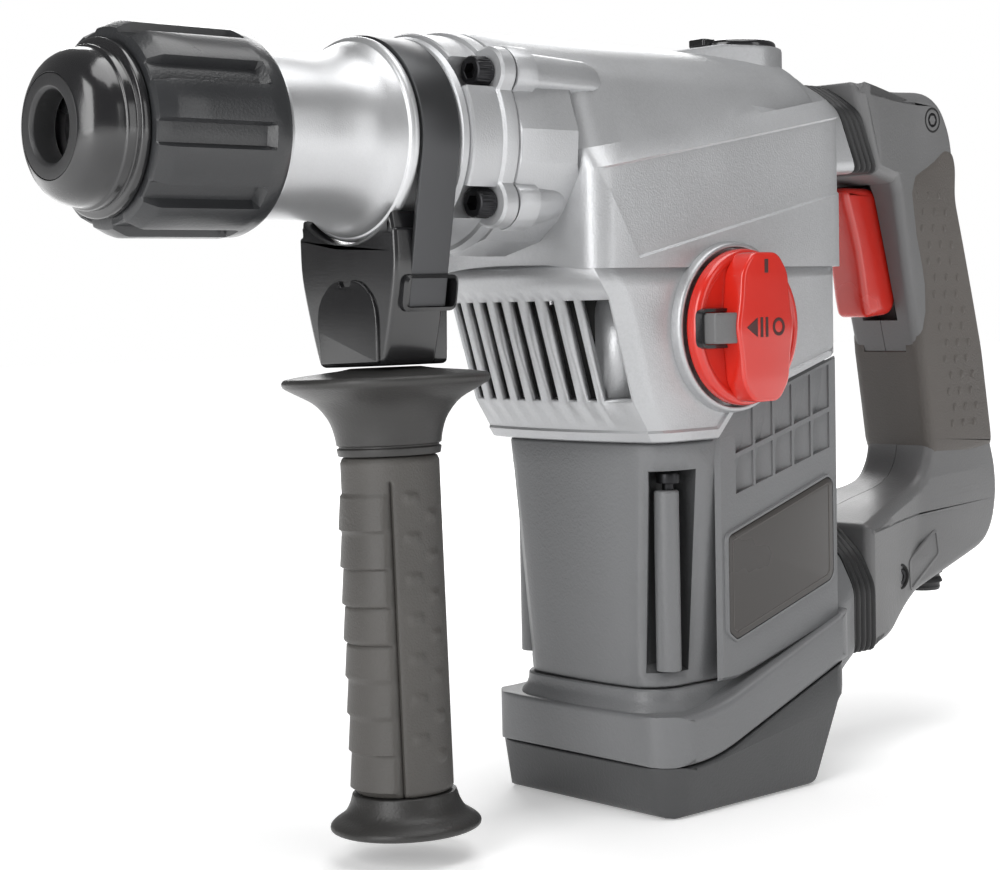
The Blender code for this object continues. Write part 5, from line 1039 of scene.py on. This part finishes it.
bar = slab("mode_knob_bar", bar_path + (KNOB_X, KNOB_Z), -63.0, -53.6, red_gloss, "xz", 1.4,
           [3.0, 3.0, 3.0, 4.0, 4.0, 4.0, 3.0, 3.0, 3.0, 3.0, 4.0, 4.0, 4.0, 3.0])
dress(bar, "selector", "red_nylon")
for name, path, reach in (("triangle", [(-11.0, 0.0), (-5.2, 3.6), (-5.2, -3.6)], 0.3),
                          ("bar_one", [(-3.6, 3.6), (-2.2, 3.6), (-2.2, -3.6), (-3.6, -3.6)], 0.2),
                          ("bar_two", [(-0.8, 3.6), (0.6, 3.6), (0.6, -3.6), (-0.8, -3.6)], 0.2),
                          ("tick", [(-1.0, 24.5), (1.0, 24.5), (1.0, 19.5), (-1.0, 19.5)], 0.2)):
    mark = slab("knob_mark_" + name, np.array(path) + (KNOB_X, KNOB_Z), -63.15, -62.8, mark_dark, "xz", 0.08,
                reach)
    dress(mark, "selector", "red_nylon")
ring_mark = lathe("knob_mark_ring", [(3.3, -62.8), (3.3, -63.15), (2.1, -63.15), (2.1, -62.8)], mark_dark,
                  (KNOB_X + 6.4, 0.0, KNOB_Z), "y", 40, 0.05)
dress(ring_mark, "selector", "red_nylon")
lock_low, lock_high = span("knob_lock_button")
LOCK_PATH = [(lock_low[0], lock_low[2]), (lock_high[0], lock_low[2]), (lock_high[0], lock_high[2]),
             (lock_low[0], lock_high[2])]
lock = slab("knob_lock_cap", LOCK_PATH, lock_low[1], lock_high[1], light_grey, "xz", 0.8, 1.6)
dress(lock, "lock_button", "light_grey_nylon", "knob_lock_button")
lock_frame_path = rounded(np.array(LOCK_PATH) + [(0.0, 0.0), (2.8, 0.0), (2.8, 0.0), (0.0, 0.0)], 1.6)
lock_frame = skin("knob_lock_frame", [np.stack([ring[:, 0], np.full(len(ring), y), ring[:, 1]], -1)
                                      for ring, y in ((inset(lock_frame_path, -2.0), -53.8),
                                                      (inset(lock_frame_path, -1.6), -56.4),
                                                      (inset(lock_frame_path, -0.4), -56.4),
                                                      (inset(lock_frame_path, -0.35), -53.8))], gloss_black,
                  loop=True)
dress(lock_frame, "selector", "red_nylon")

# ---------------------------------------------------------------- base collar and cap
# The foot is a wide grey band over a darker cap, both moulded in nylon. Band and cap climb towards the
# rear handle behind the middle of the motor, and a grey arm grows out of the band there.


def across_body(name, outline, half_width, corner, look, edge=2.4, foot=0.0, taper=0.0, reach=3.0,
                sharp=30.0):
    """A body lofted across y. At depth d inside its side the outline is inset for the rounded edge, and its
    front and rear are drawn in by R - sqrt(R R - (R - d)(R - d)), which rounds the upright corners."""
    path = rounded(outline, reach)
    low_x, high_x = path[:, 0].min(), path[:, 0].max()
    depths = np.array([0.0, 0.15, 0.5, 1.0, 1.6, 2.4, 4.0, 6.5, 9.5, corner, half_width * 0.6])
    rings = []
    for depth in depths:
        rim_in = edge - math.sqrt(max(edge ** 2 - max(edge - depth, 0.0) ** 2, 0.0))
        drawn = corner - math.sqrt(max(corner ** 2 - max(corner - depth, 0.0) ** 2, 0.0))
        ring = inset(path, rim_in)
        x = np.clip(ring[:, 0], low_x + drawn, high_x - drawn * 0.7)
        y = half_width - depth - np.maximum(foot - ring[:, 1], 0.0) * taper
        rings.append(np.stack([x, -y, ring[:, 1]], -1))
    rings = np.array(rings)
    return skin(name, np.concatenate([rings, (rings * (1.0, -1.0, 1.0))[::-1]]), look, sharp=sharp)


CAP_TOP = 19.5


def rise(x):
    """How far the band and cap have climbed at x."""
    return max(0.0, x + 25.0) * math.tan(math.radians(18.5))


cap_outline = [(-50.0, CAP_TOP - 0.4), (-46.1, 0.0), (37.0, 0.0), (47.0, 32.0),
               (56.5, CAP_TOP + rise(56.5) - 9.0), (56.5, CAP_TOP + rise(56.5) - 0.4), (-25.0, CAP_TOP - 0.4)]
cap_body = across_body("base_cap_shell", cap_outline, 48.4, 15.0, dark_nylon, 1.6, CAP_TOP, 0.2,
                       [1.0, 4.0, 3.0, 3.0, 2.0, 1.0, 12.0])
dress(cap_body, "housing", "dark_nylon", "base_cap")
band_outline = [(-51.0, 38.0), (-50.0, CAP_TOP), (-25.0, CAP_TOP), (59.8, CAP_TOP + rise(59.8)),
                (59.8, 38.0 + rise(59.8)), (-25.0, 38.0)]
band_body = across_body("base_collar_band", band_outline, 48.5, 15.0, grey_nylon, 2.6, 0.0, 0.0,
                        [2.0, 1.0, 12.0, 1.0, 2.0, 12.0])
dress(band_body, "housing", "grey_nylon", "base_collar")
plinth_rings = []
for grow, drop in ((5.0, 9.0), (4.2, 6.6), (2.6, 5.0), (1.9, 3.0), (1.7, 0.6), (1.2, 0.0), (-1.5, 0.0)):
    plan = inset(np.concatenate([motor_outline(0.0), (motor_outline(0.0)[1:-1] * (1.0, -1.0))[::-1]]), -grow)
    plinth_rings.append(np.concatenate([plan, (foot_line(plan[:, 0]) - drop)[:, None]], 1))
plinth = skin("base_plinth", plinth_rings, grey_nylon, ends=False)
dress(plinth, "housing", "grey_nylon")


def arm_section(x, wide, low, side, high, grow=0.0):
    """Section of the lower arm at x: rounded box with sloping shoulders."""
    wide, low, high = wide + grow, low - grow, high + grow
    ring = rounded([(0.0, low), (wide, low), (wide, side), (0.8 * wide, side + 13.0), (0.45 * wide, high),
                    (-0.45 * wide, high), (-0.8 * wide, side + 13.0), (-wide, side), (-wide, low)],
                   [0.0, 5.0, 4.0, 4.0, 4.0, 4.0, 4.0, 4.0, 5.0])
    return np.stack([np.full(len(ring), x), ring[:, 0], ring[:, 1]], -1)


lower_arm = skin("base_arm", [arm_section(44.0, 44.5, 33.5, 61.0, 73.0),
                              arm_section(57.4, 41.0, 38.0, 65.6, 83.0),
                              arm_section(66.0, 38.0, 41.0, 68.5, 90.0),
                              arm_section(72.4, 36.0, 43.2, 70.8, 94.6),
                              arm_section(73.2, 35.2, 44.0, 70.8, 93.8)], grey_nylon)
dress(lower_arm, "housing", "grey_nylon")

# ---------------------------------------------------------------- gaiters
# Two black rubber bellows let the rear handle slide a little to damp the blows. The rubber swells
# and shrinks along x as a cosine with four folds.
gaiter_black = finish_of("gaiter_rubber", (0.022, 0.022, 0.023), 0.5, grain=1200.0, bump=0.03, tone=0.1)
FOLDS = 4
GAITER_LENGTH = 13.5
low_start, high_start = span("lower_gaiter")[0][0], 74.0
shares = np.linspace(0.0, 1.0, 45)
swells = 1.7 * np.abs(np.cos(shares * FOLDS * math.pi)) ** 0.7 - 0.6
lower_rings = [arm_section(low_start + GAITER_LENGTH * share, 34.0, 45.0, 71.0, 93.4, swell)
               for share, swell in zip(shares, swells)]
upper_rings = []
for share, swell in zip(shares, swells):
    wide, low, high = 29.2 + swell, 238.5 - swell, 272.2 + swell
    ring = rounded([(0.0, low), (wide, low), (wide, low + 24.0), (0.8 * wide, high - 6.0), (0.5 * wide, high),
                    (-0.5 * wide, high), (-0.8 * wide, high - 6.0), (-wide, low + 24.0), (-wide, low)],
                   [0.0, 5.0, 4.0, 4.0, 4.0, 4.0, 4.0, 4.0, 5.0])
    upper_rings.append(np.stack([high_start + GAITER_LENGTH * share + 0.48 * (ARM_FOOT - ring[:, 1]),
                                 ring[:, 0], ring[:, 1]], -1))
for name, node, bellows, start, height in (("lower_bellows", "lower_gaiter", lower_rings, low_start, 71.0),
                                           ("upper_bellows", "upper_gaiter", upper_rings, high_start, 256.0)):
    bellow = skin(name, bellows, gaiter_black, sharp=60.0)
    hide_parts(node)
    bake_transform(bellow)

# ---------------------------------------------------------------- rear handle
# The closed rear handle is moulded in two light grey nylon shells, split in the middle plane. They are
# broad at the gaiters and narrow at the grip, and leave a slot for the trigger.
LOW_ARM, HIGH_ARM = 106.0, 237.0
GRIP_CENTRE = np.array([(172.0, 0.13), (168.7, 0.27), (164.7, 0.44), (158.6, 0.61), (152.6, 0.77),
                        (145.9, 0.94)])
GRIP_CENTRE[:, 1] = LOW_ARM + (HIGH_ARM - LOW_ARM) * GRIP_CENTRE[:, 1]
PLANE_FOOT = 87.8


def grip_at(z, offset):
    """Points at heights z, offset along x from the grip's centre line, which is read off GRIP_CENTRE."""
    return np.stack([np.interp(z, GRIP_CENTRE[:, 1], GRIP_CENTRE[:, 0]) + offset, np.asarray(z, float)], -1)


def plane_at(z):
    """The point at height z on the leaning plane where the upper gaiter meets the handle."""
    return (PLANE_FOOT + 0.48 * (ARM_FOOT - z), z)


outer_side = np.concatenate([[plane_at(HIGH_ARM), plane_at(273.5), (118.0, 272.0), (150.0, 274.0),
                              (160.0, 269.0), (167.0, 257.0), (169.5, 243.0)],
                             grip_at([229.0, 207.0, 186.0, 163.5, 141.5, 123.0], 23.0),
                             [(198.6, 113.0), (200.0, 100.0), (197.0, 86.0), (190.0, 77.0), (178.0, 73.0),
                              (140.0, 61.0), (126.0, 55.0), (110.0, 46.0), (87.5, 43.5), (87.5, 95.0),
                              (115.0, 102.0), (135.0, 106.0), (143.0, 110.0), (147.5, 117.0),
                              (148.9, 124.0)]])
outer_reach = [2.0, 2.0, 10.0, 8.0, 6.0, 6.0, 6.0, 6.0, 6.0, 6.0, 6.0, 6.0, 6.0, 6.0, 7.0, 7.0, 6.0, 6.0, 7.0,
               6.0, 6.0, 2.0, 2.0, 8.0, 6.0, 4.0, 3.0, 0.0]
outer_path = rounded(outer_side, outer_reach, closed=False)
slot_z = np.array([141.5, 163.5, 177.2, 177.25, 186.0, 196.0, 207.0, 218.0, 229.0, 234.4, 234.45])
front_full = grip_at(slot_z, -23.0)
front_full[-2:, 0] = (119.6, 119.0)
front_slotted = front_full.copy()
front_slotted[3:10, 0] = np.maximum(front_slotted[3:10, 0], grip_at(slot_z[3:10], -11.4)[:, 0])
full_path = np.concatenate([outer_path, front_full])
slotted_path = np.concatenate([outer_path, front_slotted])


def handle_wide(x):
    """Half the handle's width: 33 at the gaiters, falling smoothly to 18 at the grip."""
    share = np.clip((x - 86.0) / 54.0, 0.0, 1.0)
    return 33.0 - 15.0 * (0.75 * share + 0.25 * share * share * (3.0 - 2.0 * share))


def faces_of(mesh):
    """The mesh's points (n, 3), the point at each face corner, and each face's first corner."""
    points = np.empty(len(mesh.vertices) * 3, np.float32)
    corners = np.empty(len(mesh.loops), np.int32)
    starts = np.empty(len(mesh.polygons), np.int32)
    mesh.vertices.foreach_get("co", points)
    mesh.loops.foreach_get("vertex_index", corners)
    mesh.polygons.foreach_get("loop_start", starts)
    return points.reshape(-1, 3), corners, starts


def drape(piece, side):
    """Cuts the shell's flat side into strips along x and lays each of its points on side * handle_wide(x)."""
    mesh = piece.data
    points, corners, starts = faces_of(mesh)
    outermost = side * points[:, 1] / MM > handle_wide(points[:, 0] / MM) - 0.02
    mark = mesh.attributes.new("flat", "INT", "FACE")
    mark.data.foreach_set("value", np.logical_and.reduceat(outermost[corners], starts).astype(np.int32))
    work = bmesh.new()
    work.from_mesh(mesh)
    flat = work.faces.layers.int["flat"]
    for x in np.arange(92.0, 150.0, STRIP):
        picked = [face for face in work.faces if face[flat]]
        edges = list(dict.fromkeys(edge for face in picked for edge in face.edges))
        ends = list(dict.fromkeys(v for face in picked for v in face.verts))
        bmesh.ops.bisect_plane(work, geom=picked + edges + ends, plane_co=(x * MM, 0.0, 0.0),
                               plane_no=(1.0, 0.0, 0.0))
    work.to_mesh(mesh)
    work.free()
    points, corners, starts = faces_of(mesh)
    chosen = np.empty(len(starts), np.int32)
    mesh.attributes["flat"].data.foreach_get("value", chosen)
    chosen = np.repeat(chosen, np.diff(np.append(starts, len(corners))))
    touched = np.unique(corners[chosen > 0])
    points[touched, 1] = side * handle_wide(points[touched, 0] / MM) * MM
    mesh.vertices.foreach_set("co", points.ravel())
    mesh.attributes.remove(mesh.attributes["flat"])


STRIP = 4.0
SLOT_HALF = 9.2
handle_steps = [(4.5, 0.0), (3.4, 0.25), (2.2, 0.9), (1.1, 1.9), (0.35, 3.1), (0.0, 4.4)]
for side, word in ((-1.0, "near"), (1.0, "far")):
    rings = [np.stack([path[:, 0], np.full(len(path), side * y), path[:, 1]], -1)
             for path, y in ((slotted_path, 0.15), (slotted_path, SLOT_HALF), (full_path, SLOT_HALF + 0.02))]
    for depth, drawn in handle_steps:
        ring = inset(full_path, drawn)
        rings.append(np.stack([ring[:, 0], side * (handle_wide(ring[:, 0]) - depth), ring[:, 1]], -1))
    shell = skin("handle_half_" + word, rings, light_grey, sharp=34.0, cap=0)
    drape(shell, side)
    dress(shell, "rear_handle", "light_grey_nylon", "handle_shell_" + word)

# The soft rubber overmoulded on the grip. It wraps the whole grip below the trigger and its rear above.
warm_rubber = finish_of("rear_grip_rubber", (0.1, 0.09, 0.082), 0.52, grain=1300.0, bump=0.08, tone=0.1)
pad_rear = np.concatenate([[(152.0, 246.5), (160.0, 252.0), (167.6, 250.0)],
                           grip_at([243.0, 229.0, 207.0, 186.0, 163.5, 141.5, 124.0], 23.7),
                           [(194.0, 119.5), (176.0, 117.5), (150.5, 118.5)]])
pad_rear[3, 0] = 170.2
pad_rear = rounded(pad_rear, 4.0, closed=False)
rubber_front = np.array([(147.9, 125.0), (145.1, 141.4), (141.1, 163.6), (140.6, 170.5), (143.6, 181.0),
                         (143.3, 192.0), (141.8, 199.0), (137.5, 215.0), (133.8, 231.0), (137.5, 239.0)])
rubber_back = rubber_front.copy()
rubber_back[3:, 0] = (150.0, 152.5, 153.0, 152.5, 150.0, 147.5, 148.5)
rings = []
for depth, drawn, front in ((0.0, 4.4, rubber_front), (0.3, 3.2, rubber_front), (1.0, 2.0, rubber_front),
                            (2.2, 0.9, rubber_front), (3.6, 0.25, rubber_front), (5.0, 0.0, rubber_front),
                            (7.5, 0.0, rubber_front), (7.6, 0.0, rubber_back)):
    ring = inset(np.concatenate([pad_rear, front]), drawn * 0.9)
    rings.append(np.stack([ring[:, 0], depth - 0.7 - handle_wide(ring[:, 0]), ring[:, 1]], -1))
rings = np.array(rings)
overmould = skin("rear_grip_cover", np.concatenate([rings, (rings * (1.0, -1.0, 1.0))[::-1]]), warm_rubber,
                 sharp=40.0, cap=5)
dress(overmould, "rear_handle", "soft_rubber", "rear_grip_rubber")

# Small raised dashes on both faces of the grip: each is a dome, an ellipse drawn in over three rings.
dash_places = []
for row, z in enumerate(np.arange(132.0, 232.0, 7.0)):
    for offset in (-6.0, 2.0, 10.0):
        dash_places.append((*grip_at(z, offset + (2.0 if row % 2 else -1.0)), ))
dash_places = np.array(dash_places)
oval = np.linspace(0.0, 2.0 * math.pi, 12, endpoint=False)
DASH_RINGS = ((1.0, 0.0), (0.8, 0.5), (0.4, 0.7), (0.02, 0.72))
domes = []
for side in (-1.0, 1.0):
    for scale, height in DASH_RINGS:
        x = dash_places[:, :1] + 1.0 * scale * np.cos(oval)
        z = dash_places[:, 1:] + 1.9 * scale * np.sin(oval)
        domes.append(np.stack([x, np.full_like(x, side * (18.6 + height)), z], -1))
domes = np.array(domes)
index = np.arange(domes.size // 3).reshape(domes.shape[:3])
walls = []
for first in (0, 4):
    for ring in range(3):
        a, b = index[first + ring], index[first + ring + 1]
        walls.append(np.stack([a, np.roll(a, -1, 1), np.roll(b, -1, 1), b], -1).reshape(-1, 4))
dash_mesh = bpy.data.meshes.new("rear_grip_dashes")
dash_mesh.from_pydata((domes.reshape(-1, 3) * MM).tolist(), [], np.concatenate(walls).tolist())
dash_mesh.shade_smooth()
dash_mesh.materials.append(warm_rubber)
dashes = bpy.data.objects.new("rear_grip_dashes", dash_mesh)
bpy.context.scene.collection.objects.link(dashes)
dress(dashes, "rear_handle", "soft_rubber")

# ---------------------------------------------------------------- trigger
# The glossy red switch lever, moulded with a hollow front for two fingers.
TRIGGER_TOP, TRIGGER_FOOT = span("trigger")[1][2], span("trigger")[0][2]
trigger_z = np.array([186.0, 196.0, 207.0, 218.0, 229.0])
trigger_front = grip_at(trigger_z, -42.0) + np.array([(0.0, 0.0), (1.2, 0.0), (1.8, 0.0), (1.4, 0.0),
                                                      (0.3, 0.0)])
trigger_path = np.concatenate([[(118.6, TRIGGER_FOOT), (135.5, TRIGGER_FOOT + 1.2)],
                               grip_at(trigger_z, -19.2), [(123.5, TRIGGER_TOP), (104.5, TRIGGER_TOP)],
                               trigger_front[::-1]])
lever = slab("trigger_lever", trigger_path, -8.5, 8.5, red_gloss, "xz", 3.0, 3.0)
dress(lever, "trigger", "red_nylon", "trigger")

# ---------------------------------------------------------------- handle fasteners and cable gland
# A screw in a counterbore holds the shells together, a raised plate backs it, and the cable's ribbed
# rubber gland comes out under the lower arm.
GLAND_X = 166.0
gland_profile = [(4.4, 80.0), (9.0, 80.0)]
for k in range(4):
    gland_profile += [(9.0, 73.6 - 4.0 * k), (7.7, 73.2 - 4.0 * k), (7.7, 71.8 - 4.0 * k),
                      (8.8 - 0.3 * k, 71.4 - 4.0 * k)]
gland_profile += [(7.4, 58.0), (4.4, 58.0)]
gland = lathe("cable_gland_boot", gland_profile, gaiter_black, (GLAND_X, 0.0, 0.0), "z", 64, 0.4)
dress(gland, "rear_handle", "gaiter_rubber", "cable_gland")
for side, word in ((-1.0, "near"), (1.0, "far")):
    for x, z in ((120.0, 70.0), (152.0, 262.0)):
        face = float(handle_wide(x))
        # Each counterbore is coloured near-black, which paints the shade inside it.
        shaded_well = lathe("shell_screw_well_%s_%d" % (word, x), [(0.0, side * (face - 0.6)),
                                                            (4.3, side * (face - 0.6)),
                                                            (4.5, side * (face + 0.12)),
                                                            (5.3, side * (face + 0.12)),
                                                            (5.6, side * (face - 0.4)),
                                                            (5.6, side * (face - 2.0)),
                                                            (0.0, side * (face - 2.0))], painted_shade_look,
                     (x, 0.0, z), "y", 48, [0.0, 0.1, 0.1, 0.2, 0.1, 0.1, 0.0])
        dress(shaded_well, "rear_handle", "light_grey_nylon")
        head = socket_head("shell_screw_%s_%d" % (word, x), (0.0, 0.0, 0.0), black_steel, 3.9, 1.8, 3.0, 1.0)
        head.data.transform(Matrix.Rotation(-side * math.pi / 2.0, 4, "Z"))
        head.data.transform(Matrix.Translation(Vector((x, side * (face + 0.05), z)) * MM))
        dress(head, "rear_handle", "dark_steel", *(["handle_screw"] if (side, x) == (-1.0, 120.0) else []))
plate_path = np.array([(129.5, 75.0), (151.5, 86.5), (153.5, 76.0), (131.0, 63.0)])
path = rounded(plate_path, 2.0)
for side, word in ((-1.0, "near"), (1.0, "far")):
    plate_rings = []
    for drawn, lift in ((-0.9, -0.5), (-0.8, 0.35), (-0.2, 0.5), (0.3, 0.5), (0.5, -0.15), (2.0, -0.12)):
        ring = inset(path, drawn)
        plate_rings.append(np.stack([ring[:, 0], side * (handle_wide(ring[:, 0]) + lift), ring[:, 1]], -1))
    panel = skin("shell_panel_" + word, plate_rings, light_grey)
    dress(panel, "rear_handle", "light_grey_nylon")

# ---------------------------------------------------------------- inside parts
# The works behind the shells: ground steel shafts and gears, copper segments, laminated iron and carbon.
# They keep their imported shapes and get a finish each.
ground_steel = finish_of("ground_steel", (0.52, 0.52, 0.53), 0.28, grain=2400.0, bump=0.006, metallic=1.0,
                         tone=0.06)
copper = finish_of("copper_segments", (0.72, 0.36, 0.22), 0.3, grain=1800.0, bump=0.006, metallic=1.0,
                   tone=0.08)
iron = finish_of("laminated_iron", (0.16, 0.16, 0.165), 0.42, grain=700.0, bump=0.03, metallic=0.9, tone=0.12)
carbon = finish_of("carbon_brush", (0.03, 0.03, 0.032), 0.55, grain=900.0, bump=0.03)
inside = {
    ground_steel: "tool_holder locking_segment_near locking_segment_far front_bearing cylinder_tube "
                  "crown_wheel anvil striker piston wrist_pin connecting_rod crank_shaft crank_bearing "
                  "bevel_pinion_shaft armature_shaft motor_bearing_upper motor_bearing_lower selector_shaft",
    copper: "commutator", iron: "armature_core stator", carbon: "carbon_brush_near carbon_brush_far",
    dark_nylon: "cooling_fan switch_body", gaiter_black: "shaft_seal", magnesium: "bearing_plate"}
for look, names in inside.items():
    for name in names.split():
        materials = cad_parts[name].data.materials
        materials.clear()
        materials.append(look)
